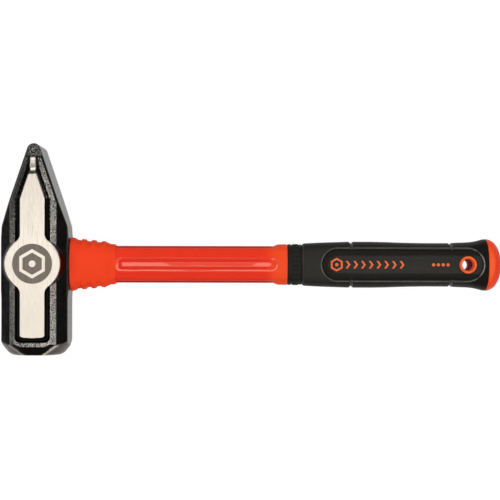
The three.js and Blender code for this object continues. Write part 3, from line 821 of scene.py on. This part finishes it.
# ------------------------------------------------------------------ generic marks
def prism(name, outline, z_of, sign, rise=0.22, sink=0.25, bevel=0.1):
    """A flat inlay over an XY outline (counter-clockwise), standing on the panel."""
    pts = np.asarray(outline, float)
    n = len(pts)
    c = []
    for i in range(n):
        p0, p1, p2 = pts[i - 1], pts[i], pts[(i + 1) % n]
        e0, e1 = p1 - p0, p2 - p1
        n0 = np.array([-e0[1], e0[0]]) / max(np.linalg.norm(e0), 1e-9)
        n1 = np.array([-e1[1], e1[0]]) / max(np.linalg.norm(e1), 1e-9)
        m = n0 + n1
        m /= max(np.dot(m, n0), 0.3) if np.linalg.norm(m) > 1e-6 else 1
        c.append(p1 + m * bevel)
    inner = np.array(c)
    lv = [(pts, z_of(pts[:, 0]) - sink), (pts, z_of(pts[:, 0]) + rise - bevel * 0.8), (inner, z_of(inner[:, 0]) + rise)]
    return [np.column_stack([p, z * sign]) for p, z in lv]


def build_marks(sign):
    """Generic orange inlays: a hexagon ring with a dot, a row of eight chevrons and four pips."""
    top = lambda x: panel_floor(x) + 0.42
    bm = bmesh.new()

    def add(rings, closed_hole=False):
        rings = np.array(rings)
        nr, n = rings.shape[:2]
        vs = [[bm.verts.new(tuple(row(p))) for p in r] for r in rings]
        for r in range(nr - 1 if not closed_hole else nr):
            for i in range(n):
                a, b = vs[r], vs[(r + 1) % nr]
                bm.faces.new((a[i], a[(i + 1) % n], b[(i + 1) % n], b[i]))
        if not closed_hole:
            bm.faces.new(vs[0][::-1])
            bm.faces.new(vs[-1])

    # hexagon ring
    cx = 220.7
    hexa = lambda r, k=6: np.array([(cx + r * math.cos(math.radians(60 * i + 30)), r * math.sin(math.radians(60 * i + 30))) for i in range(k)])
    def lvl(p, dz):
        return np.column_stack([p, (top(p[:, 0]) + dz) * sign])
    ro, ri = 5.0, 3.55
    add([lvl(hexa(ro), -0.25), lvl(hexa(ro), 0.14), lvl(hexa(ro - 0.12), 0.22), lvl(hexa(ri + 0.12), 0.22), lvl(hexa(ri), 0.14), lvl(hexa(ri), -0.25)], True)
    dot = lambda r, x=cx, y=0.0, k=28: np.array([(x + r * math.cos(2 * math.pi * i / k), y + r * math.sin(2 * math.pi * i / k)) for i in range(k)])
    add([lvl(dot(1.25), -0.25), lvl(dot(1.25), 0.14), lvl(dot(1.15), 0.22)])
    # eight chevrons
    wid, hgt, stroke, lean = 3.0, 2.75, 1.15, 1.9
    for i in range(8):
        x = 227.2 + 5.62 * i
        p = [(x, -hgt), (x + stroke * 1.35, -hgt), (x + lean + stroke * 1.35, 0), (x + stroke * 1.35, hgt), (x, hgt), (x + lean, 0)]
        add(prism("c", p, top, sign, 0.22, 0.25, 0.1))
    # four pips
    for i in range(4):
        add([lvl(dot(1.2, 291.2 + 3.5 * i, 0.0), -0.25), lvl(dot(1.2, 291.2 + 3.5 * i, 0.0), 0.14), lvl(dot(1.1, 291.2 + 3.5 * i, 0.0), 0.22)])
    bmesh.ops.recalc_face_normals(bm, faces=bm.faces)
    me = bpy.data.meshes.new("marks")
    bm.to_mesh(me)
    bm.free()
    ob = bpy.data.objects.new("inlay_marks_" + ("upper" if sign > 0 else "lower"), me)
    bpy.context.scene.collection.objects.link(ob)
    smooth_by_angle(ob, 40)
    return ob


# ------------------------------------------------------------------ materials
def new_mat(name):
    m = bpy.data.materials.new(name)
    m.use_nodes = True
    nt = m.node_tree
    nt.nodes.clear()
    out = nt.nodes.new("ShaderNodeOutputMaterial")
    bsdf = nt.nodes.new("ShaderNodeBsdfPrincipled")
    nt.links.new(bsdf.outputs[0], out.inputs[0])
    return m, N(nt), bsdf


class N:
    """Short names for building node trees."""

    def __init__(self, nt):
        self.nt = nt
        self._obj = None

    def node(self, kind, **props):
        n = self.nt.nodes.new(kind)
        for k, v in props.items():
            setattr(n, k, v)
        return n

    def link(self, a, b):
        self.nt.links.new(a, b)

    def put(self, value, socket):
        if isinstance(value, bpy.types.NodeSocket):
            self.link(value, socket)
        else:
            socket.default_value = value

    def coords(self):
        """Object coordinates in millimetres in the head's axes."""
        if self._obj is None:
            tc = self.node("ShaderNodeTexCoord")
            sub = self.node("ShaderNodeVectorMath", operation="SUBTRACT")
            self.link(tc.outputs["Object"], sub.inputs[0])
            sub.inputs[1].default_value = (OX, OY, OZ)
            sc = self.node("ShaderNodeVectorMath", operation="SCALE")
            self.link(sub.outputs[0], sc.inputs[0])
            sc.inputs["Scale"].default_value = 1000.0
            self._obj = sc.outputs[0]
        return self._obj

    def xyz(self):
        s = self.node("ShaderNodeSeparateXYZ")
        self.link(self.coords(), s.inputs[0])
        return s.outputs[0], s.outputs[1], s.outputs[2]

    def math(self, op, a, b=0.0, c=None):
        n = self.node("ShaderNodeMath", operation=op)
        self.put(a, n.inputs[0])
        self.put(b, n.inputs[1])
        if c is not None:
            self.put(c, n.inputs[2])
        return n.outputs[0]

    def ramp(self, v, a, b, lo=0.0, hi=1.0, smooth=True):
        n = self.node("ShaderNodeMapRange")
        if smooth:
            n.interpolation_type = "SMOOTHSTEP"
        self.put(v, n.inputs["Value"])
        n.inputs["From Min"].default_value = a
        n.inputs["From Max"].default_value = b
        n.inputs["To Min"].default_value = lo
        n.inputs["To Max"].default_value = hi
        return n.outputs[0]

    def mix(self, f, a, b):
        n = self.node("ShaderNodeMix", data_type="RGBA")
        self.put(f, n.inputs[0])
        for v, s in ((a, n.inputs[6]), (b, n.inputs[7])):
            if isinstance(v, bpy.types.NodeSocket):
                self.link(v, s)
            else:
                s.default_value = (*v, 1) if len(v) == 3 else v
        return n.outputs[2]

    def mixf(self, f, a, b):
        n = self.node("ShaderNodeMix", data_type="FLOAT")
        self.put(f, n.inputs[0])
        self.put(a, n.inputs[2])
        self.put(b, n.inputs[3])
        return n.outputs[0]

    def noise(self, scale, detail=2.0, rough=0.5, vec=None, stretch=None, distortion=0.0):
        """Noise with `scale` features per millimetre."""
        v = vec if vec is not None else self.coords()
        if stretch:
            m = self.node("ShaderNodeVectorMath", operation="MULTIPLY")
            self.link(v, m.inputs[0])
            m.inputs[1].default_value = stretch
            v = m.outputs[0]
        n = self.node("ShaderNodeTexNoise")
        self.link(v, n.inputs["Vector"])
        n.inputs["Scale"].default_value = scale
        n.inputs["Detail"].default_value = detail
        n.inputs["Roughness"].default_value = rough
        n.inputs["Distortion"].default_value = distortion
        return n.outputs[0]

    def attr(self, name):
        n = self.node("ShaderNodeAttribute")
        n.attribute_name = name
        return n.outputs["Fac"]

    def bump(self, height, strength, dist=0.001, normal=None):
        n = self.node("ShaderNodeBump")
        self.put(strength, n.inputs["Strength"])
        n.inputs["Distance"].default_value = dist
        self.put(height, n.inputs["Height"])
        if normal is not None:
            self.link(normal, n.inputs["Normal"])
        return n.outputs[0]


def plastic(name, base, dark, rough, grain, grain_scale, spec=0.4, mottling=0.05, track=False, bore=False, dome=False, loop=False):
    m, n, b = new_mat(name)
    big = n.noise(0.05, 3, 0.55)
    col = n.mix(n.ramp(big, 0.3, 0.7), tuple(c * (1 - mottling) for c in base), tuple(min(1, c * (1 + mottling)) for c in base))
    fine = n.noise(grain_scale, 2, 0.6)
    col = n.mix(n.ramp(fine, 0.35, 0.75, 0.0, 0.18), col, dark)
    r = n.ramp(n.noise(0.35, 3, 0.6), 0.3, 0.7, rough - 0.04, rough + 0.05)
    if track:
        collar, groove = n.attr("bar"), n.attr("groove")
        # painted shade: the slot floor inside the raised loop is painted a darker red
        col = n.mix(n.math("MULTIPLY", groove, 0.8), col, (0.74, 0.020, 0.012))
        # painted sheen: the flared collar is painted a lighter, yellower orange
        col = n.mix(collar, col, (0.94, 0.072, 0.013))
        x, y, z = n.xyz()
        # painted shade: the cheek is painted darker towards its -Y edge
        low = n.math("MULTIPLY", n.ramp(y, -3.5, -7.0), n.math("SUBTRACT", 1.0, collar))
        col = n.mix(n.math("MULTIPLY", low, 0.75), col, (0.80, 0.022, 0.0055))
        b.inputs["Specular Tint"].default_value = (1.0, 0.62, 0.52, 1)
        # painted shade: the steep strips along the edges are painted darker; they are also rougher
        painted_edge_shade = n.math("MULTIPLY", n.ramp(n.math("ABSOLUTE", y), 11.6, 12.5), n.math("SUBTRACT", 1.0, collar))
        col = n.mix(n.math("MULTIPLY", painted_edge_shade, 0.55), col, (0.58, 0.012, 0.004))
        r = n.mixf(painted_edge_shade, r, 0.78)
    if loop:
        x, y, z = n.xyz()
        # painted shade: the run of the loop on the +Y side is painted darker, with a redder specular tint and more
        # roughness, so it catches no highlight
        outer = n.ramp(y, 1.9, 2.6)
        outer = n.math("MULTIPLY", outer, n.math("MULTIPLY", n.ramp(x, 62.5, 65.0), n.ramp(x, 175.0, 172.0)))
        col = n.mix(n.math("MULTIPLY", outer, 0.8), col, (0.86, 0.026, 0.006))
        r = n.mixf(outer, r, 0.24)
        n.link(n.mix(outer, (1.0, 0.96, 0.78), (1.0, 0.50, 0.42)), b.inputs["Specular Tint"])
    if dome:
        x, y, z = n.xyz()
        ay = n.math("ABSOLUTE", y)
        # painted highlight: a lighter orange over the middle of the cap's side nearer the grip
        col = n.mix(n.math("MULTIPLY", n.ramp(x, 337.5, 333.0, 0.0, 0.6), n.ramp(ay, 17.0, 3.0, 0.35, 1.0)), col, (1.0, 0.150, 0.026))
        # painted shade: the cap is painted darker towards its far end
        col = n.mix(n.ramp(x, 337.0, 341.5, 0.0, 0.9), col, (0.56, 0.014, 0.006))
    n.link(col, b.inputs["Base Color"])
    n.link(r, b.inputs["Roughness"])
    b.inputs["Specular IOR Level"].default_value = spec
    if bore:
        x, y, z = n.xyz()
        dx = n.math("SUBTRACT", x, HANG_X)
        rad = n.math("SQRT", n.math("ADD", n.math("MULTIPLY", dx, dx), n.math("MULTIPLY", y, y)))
        # painted shade: deep paints the inside of the bore dark red, rougher and with a dark specular tint
        deep = n.math("MULTIPLY", n.math("SUBTRACT", 1.0, n.ramp(rad, 4.03, 4.5)), n.math("SUBTRACT", 1.0, n.ramp(n.math("ABSOLUTE", z), 9.5, 12.5)))
        col = n.mix(n.math("MULTIPLY", deep, 0.9), col, (0.42, 0.012, 0.005))
        n.link(col, b.inputs["Base Color"])
        n.link(n.mixf(deep, r, 0.75), b.inputs["Roughness"])
        n.link(n.mix(deep, (1, 1, 1), (0.20, 0.04, 0.03)), b.inputs["Specular Tint"])
    n.link(n.bump(fine, grain, 0.00025), b.inputs["Normal"])
    return m


mat_guard = plastic("guard_orange", (0.95, 0.053, 0.0085), (0.68, 0.028, 0.006), 0.58, 0.10, 3.2, spec=0.15)
mat_jacket = plastic("jacket_orange", (0.90, 0.033, 0.0070), (0.68, 0.020, 0.005), 0.42, 0.06, 3.5, spec=0.22, track=True)
mat_track = plastic("track_orange", (0.93, 0.045, 0.0075), (0.75, 0.030, 0.006), 0.085, 0.01, 3.5, spec=0.9, loop=True)
mat_butt = plastic("butt_orange", (0.94, 0.048, 0.0085), (0.68, 0.026, 0.006), 0.36, 0.04, 3.2, spec=0.2, mottling=0.02, dome=True)
# painted highlight: the bush's orange is lighter and yellower than the other orange parts, the tone of its lit lip
mat_bush = plastic("bush_orange", (0.97, 0.150, 0.026), (0.80, 0.08, 0.014), 0.30, 0.04, 3.2, spec=0.45, bore=True)
mat_marks = plastic("mark_orange", (0.92, 0.155, 0.034), (0.80, 0.10, 0.022), 0.45, 0.03, 3.2, spec=0.3)


def rubber(name, base, rough, grain, scale=2.4, line=False, tint=(1, 0.97, 0.90)):
    m, n, b = new_mat(name)
    big = n.noise(0.08, 3, 0.6)
    col = n.mix(n.ramp(big, 0.3, 0.7), tuple(c * 0.86 for c in base), tuple(c * 1.16 for c in base))
    dust = n.ramp(n.noise(0.9, 4, 0.7), 0.62, 0.8, 0.0, 0.12)
    col = n.mix(dust, col, (0.05, 0.047, 0.042))
    fine = n.noise(scale, 2, 0.6)
    r = n.ramp(n.noise(0.5, 2, 0.5), 0.3, 0.7, rough - 0.05, rough + 0.05)
    if line:
        # painted highlights: the lip, its round ends, the panel rim, the notch edges and the start of the grip are
        # painted lighter, and made less rough
        painted_glint = n.math("MULTIPLY", n.attr("line"), n.ramp(n.noise(0.12, 3, 0.6), 0.3, 0.7, 0.55, 1.0))
        painted_glint = n.math("MINIMUM", painted_glint, 1.6)
        # painted shade: deep paints the channel near-black
        deep = n.attr("deep")
        col = n.mix(n.math("MULTIPLY", deep, 0.85), col, (0.0015, 0.0015, 0.0013))
        col = n.mix(n.math("MULTIPLY", painted_glint, 0.55), col, (0.30, 0.285, 0.255))
        r = n.mixf(n.math("MINIMUM", painted_glint, 1.0), r, rough - 0.2)
        y = n.xyz()[1]
        # painted shade: the specular tint is darker in the channel and along the grip's edges
        shoulder = n.math("MULTIPLY", n.ramp(n.math("ABSOLUTE", y), 12.2, 13.4), 0.75)
        n.link(n.mix(n.math("MAXIMUM", deep, shoulder), (0.88, 0.85, 0.79), (0.36, 0.35, 0.32)), b.inputs["Specular Tint"])
    else:
        b.inputs["Specular Tint"].default_value = (*tint, 1)
    n.link(col, b.inputs["Base Color"])
    n.link(r, b.inputs["Roughness"])
    b.inputs["Specular IOR Level"].default_value = 0.35
    n.link(n.bump(fine, grain, 0.0003), b.inputs["Normal"])
    return m


mat_grip = rubber("grip_rubber", (0.0098, 0.0091, 0.0072), 0.56, 0.16, line=True)
mat_nose = rubber("nose_rubber", (0.0050, 0.0047, 0.0040), 0.58, 0.22, 2.0, tint=(0.68, 0.66, 0.61))
mat_panel = rubber("panel_rubber", (0.0108, 0.0101, 0.0084), 0.52, 0.10, 3.4, tint=(0.92, 0.89, 0.83))


def head_material():
    m, n, b = new_mat("forged_steel")
    x, y, z = n.xyz()
    ax, az = n.math("ABSOLUTE", x), n.math("ABSOLUTE", z)
    # ground pads: everything at the height of the ground plane
    edge_noise = n.math("MULTIPLY", n.math("SUBTRACT", n.noise(0.8, 2), 0.5), 0.05)
    ground = n.ramp(n.math("ADD", az, edge_noise), 23.34, 23.42)
    ramp_a = n.attr("ramp")
    turned, rough, channel = n.attr("turned"), n.attr("rough"), n.attr("channel")
    # etched disc with a bright hexagon ring and dot
    yc = n.math("SUBTRACT", y, HUB_Y)
    rad = n.math("SQRT", n.math("ADD", n.math("MULTIPLY", x, x), n.math("MULTIPLY", yc, yc)))
    disc = n.math("SUBTRACT", 1.0, n.ramp(rad, 14.35, 14.55))
    ayc = n.math("ABSOLUTE", yc)
    hexd = n.math("MAXIMUM", ax, n.math("ADD", n.math("MULTIPLY", ax, 0.5), n.math("MULTIPLY", ayc, 0.8660254)))
    ring = n.math("MULTIPLY", n.ramp(hexd, 6.9, 7.05), n.math("SUBTRACT", 1.0, n.ramp(hexd, 9.15, 9.3)))
    dot = n.math("SUBTRACT", 1.0, n.ramp(rad, 2.35, 2.5))
    mark = n.math("MAXIMUM", ring, dot)
    etched = n.math("MULTIPLY", n.math("MULTIPLY", disc, n.math("SUBTRACT", 1.0, mark)), n.ramp(az, 23.2, 23.3))
    # brushed lines along the head
    brush = n.noise(1.0, 4, 0.65, stretch=(5.5, 0.16, 5.5))
    brush2 = n.noise(1.0, 3, 0.6, stretch=(1.2, 0.05, 1.2))
    patch = n.noise(0.09, 3, 0.6)
    g_col = n.mix(n.ramp(brush, 0.32, 0.68), (0.70, 0.63, 0.535), (0.93, 0.862, 0.77))
    g_col = n.mix(n.ramp(patch, 0.35, 0.7, 0.0, 0.35), g_col, (0.82, 0.73, 0.61))
    g_col = n.mix(n.ramp(brush2, 0.55, 0.8, 0.0, 0.25), g_col, (0.62, 0.55, 0.47))
    # painted shade: the pad is painted darker towards the striking face, where the key light falls on it
    g_col = n.mix(n.ramp(y, 20.0, -14.0, 0.0, 0.30), g_col, (0.46, 0.415, 0.36))
    g_col = n.mix(n.ramp(y, -10.0, -44.0, 0.0, 0.30), g_col, (0.46, 0.415, 0.36))
    g_col = n.mix(n.math("MULTIPLY", n.ramp(brush2, 0.52, 0.66), n.ramp(patch, 0.4, 0.6, 0.1, 0.4)), g_col, (0.50, 0.45, 0.39))
    e_col = n.mix(n.ramp(brush2, 0.3, 0.7), (0.165, 0.138, 0.116), (0.21, 0.178, 0.15))
    # black finish on the smooth surfaces
    scale_n = n.noise(0.25, 4, 0.6)
    black = n.mix(n.ramp(scale_n, 0.35, 0.7), (0.0012, 0.0012, 0.0010), (0.0028, 0.0026, 0.0022))
    # forged band: grey speckle with dark pits
    sp = n.noise(1.12, 4, 0.72, distortion=0.5)
    sp2 = n.noise(0.35, 3, 0.6)
    r_col = n.mix(n.ramp(sp, 0.44, 0.57), (0.012, 0.0115, 0.0105), (0.64, 0.605, 0.56))
    r_col = n.mix(n.ramp(sp2, 0.35, 0.65, 0.0, 0.5), r_col, (0.11, 0.104, 0.097))
    # painted light: the band on the handle side (+X) is painted lighter, as if lit from that side
    painted_light_handle_side = n.math("MULTIPLY", n.ramp(x, 4.0, 10.0), n.ramp(az, 16.5, 18.0))
    r_col = n.mix(n.math("MULTIPLY", painted_light_handle_side, n.ramp(sp, 0.40, 0.60, 0.12, 0.46)), r_col, (0.86, 0.82, 0.76))
    # painted shade: the band on the side away from the handle (-X) is painted darker, more so towards the peen
    r_col = n.mix(n.math("MULTIPLY", n.ramp(x, 0.0, -8.0), n.ramp(y, 14.0, 60.0, 0.25, 0.86)), r_col, (0.016, 0.015, 0.014))
    by_strip = n.math("ADD", n.math("SUBTRACT", ax, 3.7), n.math("MULTIPLY", n.math("SUBTRACT", y, 77.5), 0.16))
    by_strip = n.math("MULTIPLY", n.ramp(by_strip, 0.5, -0.4), n.math("MULTIPLY", n.ramp(y, 60.0, 64.0), n.ramp(y, 78.3, 77.7)))
    r_col = n.mix(n.math("MULTIPLY", by_strip, 0.93), r_col, (0.004, 0.004, 0.0036))
    pits = n.math("MULTIPLY", n.ramp(sp, 0.47, 0.41), n.ramp(n.noise(0.9, 2, 0.5), 0.40, 0.55))
    r_col = n.mix(pits, r_col, (0.006, 0.006, 0.0055))
    dark_tip = n.ramp(y, 76.8, 78.2)
    r_col = n.mix(n.math("MULTIPLY", dark_tip, n.ramp(sp, 0.46, 0.56, 0.96, 0.38)), r_col, (0.005, 0.005, 0.0045))
    # a dark line along the step where the ramp meets the rough cap
    cap_step_line = n.math("MULTIPLY", n.ramp(y, 76.9, 77.4), n.ramp(y, 78.9, 78.2))
    r_col = n.mix(n.math("MULTIPLY", cap_step_line, 0.85), r_col, (0.003, 0.003, 0.0028))
    # turned striking end, with a painted dark reflection across the middle of its rim and a painted highlight streak
    # beside it
    t_n = n.noise(1.0, 3, 0.6, stretch=(0.25, 9.0, 0.25))
    t_col = n.mix(n.ramp(t_n, 0.3, 0.7), (0.088, 0.078, 0.064), (0.135, 0.121, 0.102))
    lift = n.math("ADD", y, 66.5)
    wander = n.math("MULTIPLY", n.math("SUBTRACT", n.noise(0.3, 2), 0.5), 2.4)
    side = n.math("ADD", n.math("SUBTRACT", ax, n.math("MULTIPLY", lift, 1.36)), wander)
    # painted reflection: a dark band across the middle of the rim
    middle = n.math("MULTIPLY", n.math("SUBTRACT", 1.0, n.ramp(side, 4.6, 6.4)), n.ramp(az, 12.0, 16.0))
    # painted highlight: a light streak beside it
    painted_highlight_streak = n.math("MULTIPLY", n.ramp(side, 5.2, 6.6), n.math("SUBTRACT", 1.0, n.ramp(side, 7.0, 9.2)))
    painted_highlight_streak = n.math("MULTIPLY", n.math("MULTIPLY", painted_highlight_streak, n.ramp(az, 12.0, 16.0)), n.ramp(x, -4.0, 6.0, 0.35, 1.0))
    t_col = n.mix(n.math("MULTIPLY", middle, 0.95), t_col, (0.009, 0.0078, 0.0065))
    t_col = n.mix(n.math("MULTIPLY", painted_highlight_streak, 0.8), t_col, (0.80, 0.72, 0.62))
    face = n.math("SUBTRACT", 1.0, n.ramp(y, -66.49, -66.3))
    f_n = n.noise(1.0, 3, 0.6, stretch=(3.0, 1.0, 0.3))
    f_col = n.mix(n.ramp(f_n, 0.3, 0.7), (0.40, 0.375, 0.34), (0.60, 0.57, 0.53))
    t_col = n.mix(face, t_col, f_col)
    side_face = n.math("MULTIPLY", n.ramp(az, 13.9, 12.9), n.math("SUBTRACT", 1.0, turned))
    grain = n.noise(1.5, 3, 0.66)
    black = n.mix(n.math("MULTIPLY", side_face, n.ramp(grain, 0.42, 0.66, 0.1, 0.9)), black, (0.062, 0.057, 0.048))
    col = n.mix(rough, black, r_col)
    col = n.mix(channel, col, (0.0055, 0.0055, 0.0050))
    col = n.mix(turned, col, t_col)
    col = n.mix(ramp_a, col, (0.52, 0.475, 0.42))
    col = n.mix(ground, col, g_col)
    col = n.mix(etched, col, e_col)
    n.link(col, b.inputs["Base Color"])
    metal = n.mixf(rough, 0.0, 0.85)
    for part in (channel, turned, ramp_a, ground):
        metal = n.math("MAXIMUM", metal, part)
    n.link(metal, b.inputs["Metallic"])
    # roughness per finish
    smooth_r = n.mixf(side_face, n.ramp(scale_n, 0.3, 0.7, 0.12, 0.19), n.ramp(grain, 0.3, 0.7, 0.15, 0.30))
    r = n.mixf(rough, smooth_r, 0.40)
    r = n.mixf(channel, r, 0.34)
    r = n.mixf(turned, r, n.ramp(t_n, 0.3, 0.7, 0.24, 0.34))
    r = n.mixf(ramp_a, r, 0.24)
    r = n.mixf(ground, r, n.ramp(brush, 0.3, 0.7, 0.34, 0.44))
    r = n.mixf(etched, r, 0.5)
    n.link(r, b.inputs["Roughness"])
    # relief
    h_smooth = n.math("MULTIPLY", n.noise(0.12, 2, 0.5), 0.5)
    hb = n.mixf(rough, n.math("ADD", n.math("MULTIPLY", h_smooth, 0.4), n.math("MULTIPLY", n.math("MULTIPLY", grain, side_face), 0.22)), sp)
    hb = n.mixf(turned, hb, n.math("MULTIPLY", t_n, 0.02))
    hb = n.mixf(ramp_a, hb, 0.0)
    hb = n.mixf(ground, hb, n.math("MULTIPLY", brush, 0.02))
    n.link(n.bump(hb, 1.0, 0.00038), b.inputs["Normal"])
    b.inputs["Specular IOR Level"].default_value = 0.4
    return m


mat_head = head_material()


def core_material():
    m, n, b = new_mat("glass_fibre_end")
    sp = n.noise(2.6, 3, 0.7)
    big = n.noise(0.3, 2, 0.5)
    col = n.mix(n.ramp(sp, 0.35, 0.65), (0.30, 0.27, 0.15), (0.62, 0.58, 0.40))
    col = n.mix(n.ramp(big, 0.4, 0.7, 0.0, 0.4), col, (0.50, 0.44, 0.24))
    n.link(col, b.inputs["Base Color"])
    n.link(n.ramp(sp, 0.3, 0.7, 0.42, 0.62), b.inputs["Roughness"])
    n.link(n.bump(sp, 0.35, 0.0003), b.inputs["Normal"])
    return m


def resin_material():
    m, n, b = new_mat("cured_epoxy")
    v = n.noise(0.5, 3, 0.6)
    n.link(n.mix(n.ramp(v, 0.3, 0.7), (0.020, 0.014, 0.009), (0.050, 0.036, 0.022)), b.inputs["Base Color"])
    n.link(n.ramp(v, 0.3, 0.7, 0.18, 0.3), b.inputs["Roughness"])
    n.link(n.bump(n.noise(0.35, 2, 0.5), 0.4, 0.0008), b.inputs["Normal"])
    return m


mat_core, mat_resin = core_material(), resin_material()

# ------------------------------------------------------------------ build
PIECES = [
    (build_head, mat_head, ["hammer_head"], "forged_steel"),
    (build_resin, mat_resin, ["eye_resin"], "epoxy"),
    (build_core, mat_core, ["fibreglass_core"], "glass_fibre"),
    (build_guard, mat_guard, ["overstrike_guard"], "orange_matte"),
    (build_jacket, mat_jacket, ["handle_jacket"], "orange_gloss"),
    (build_track, mat_track, [], "orange_gloss"),
    (build_nose, mat_nose, ["grip_nose_ring"], "black_rubber"),
    (build_grip, mat_grip, ["grip_sleeve"], "black_rubber"),
    (lambda: build_panel(1), mat_panel, ["grip_panel_top"], "black_rubber"),
    (lambda: build_panel(-1), mat_panel, ["grip_panel_bottom"], "black_rubber"),
    (build_bush, mat_bush, ["hang_hole_bush"], "orange_gloss"),
    (build_butt, mat_butt, ["butt_cap"], "orange_matte"),
    (lambda: build_marks(1), mat_marks, [], "orange_matte"),
    (lambda: build_marks(-1), mat_marks, [], "orange_matte"),
]
for make, mat, nodes, slot_name in PIECES:
    piece = make()
    piece.data.materials.clear()
    piece.data.materials.append(mat)
    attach(piece, "root")
    if nodes:
        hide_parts(*nodes)

# ------------------------------------------------------------------ stage, light, camera
scene = bpy.context.scene
lo, hi = CAD_BOX
floor_z = min(lo[2], hi[2])
me = bpy.data.meshes.new("floor")
S = 6.0
me.from_pydata([(-S, -S, floor_z - 0.0002), (S, -S, floor_z - 0.0002), (S, S, floor_z - 0.0002), (-S, S, floor_z - 0.0002)], [], [(0, 1, 2, 3)])
floor = bpy.data.objects.new("floor", me)
scene.collection.objects.link(floor)
fm = bpy.data.materials.new("floor")
fm.use_nodes = True
fb = fm.node_tree.nodes["Principled BSDF"]
fb.inputs["Base Color"].default_value = (0.13, 0.13, 0.13, 1)
fb.inputs["Roughness"].default_value = 0.9
fb.inputs["Specular IOR Level"].default_value = 0.1
fb.inputs["Emission Color"].default_value = (1, 1, 1, 1)
flp = fm.node_tree.nodes.new("ShaderNodeLightPath")
fst = fm.node_tree.nodes.new("ShaderNodeMapRange")
fst.inputs["To Min"].default_value, fst.inputs["To Max"].default_value = 0.66, 0.93
fm.node_tree.links.new(flp.outputs["Is Camera Ray"], fst.inputs["Value"])
fm.node_tree.links.new(fst.outputs[0], fb.inputs["Emission Strength"])
me.materials.append(fm)

world = bpy.data.worlds.new("studio")
scene.world = world
world.use_nodes = True
wn = N(world.node_tree)
world.node_tree.nodes.clear()
tc = wn.node("ShaderNodeTexCoord")
sep = wn.node("ShaderNodeSeparateXYZ")
wn.link(tc.outputs["Generated"], sep.inputs[0])
up = wn.ramp(sep.outputs[2], 0.42, 0.80)
sky = wn.mix(up, (0.05, 0.05, 0.05), (0.55, 0.55, 0.55))
lp = wn.node("ShaderNodeLightPath")
shown = wn.mix(lp.outputs["Is Camera Ray"], sky, (0.90, 0.90, 0.90))
bg = wn.node("ShaderNodeBackground")
wn.link(shown, bg.inputs[0])
wo = wn.node("ShaderNodeOutputWorld")
wn.link(bg.outputs[0], wo.inputs[0])


def area(name, loc, target, size, size_y, radiance, color=(1, 1, 1)):
    """A rectangular softbox; its power follows from its radiance and its area."""
    ld = bpy.data.lights.new(name, "AREA")
    ld.shape = "RECTANGLE"
    ld.size, ld.size_y = size, size_y
    ld.energy = radiance * math.pi * size * size_y
    ld.color = color
    ob = bpy.data.objects.new(name, ld)
    ob.location = loc
    ob.rotation_euler = (Vector(target) - Vector(loc)).to_track_quat("-Z", "Y").to_euler()
    scene.collection.objects.link(ob)
    return ob


area("key", (-0.20, -0.305, 1.35), (-0.20, -0.305, 0.0), 1.10, 0.60, 1.7)
area("back", (0.0, 0.95, 1.10), (0, 0, 0.02), 1.2, 0.5, 2.2)
area("front", (0.0, -1.05, 1.05), (0, 0, 0.02), 1.2, 0.45, 1.6)
area("right", (1.25, 0.0, 1.05), (-0.05, 0, 0.02), 1.0, 0.5, 3.5, (1.0, 0.975, 0.94))
area("left", (-1.30, 0.0, 1.25), (-0.05, 0, 0.02), 1.0, 0.5, 2.0, (1.0, 0.975, 0.94))

cam_data = bpy.data.cameras.new("camera")
cam = bpy.data.objects.new("camera", cam_data)
scene.collection.objects.link(cam)
scene.camera = cam
cam_data.sensor_width = 36.0
cam_data.lens = 36.0 * 900.0 / (500 / 1.35)
cam_data.shift_x = 0.03
cam_data.shift_y = 0.03
cam.location = row([146.4, -0.4, 900.0])
cam.rotation_euler = (0, 0, math.radians(0.115))
cam_data.clip_start, cam_data.clip_end = 0.05, 50
scene.view_settings.view_transform = "Standard"
scene.view_settings.look = "None"
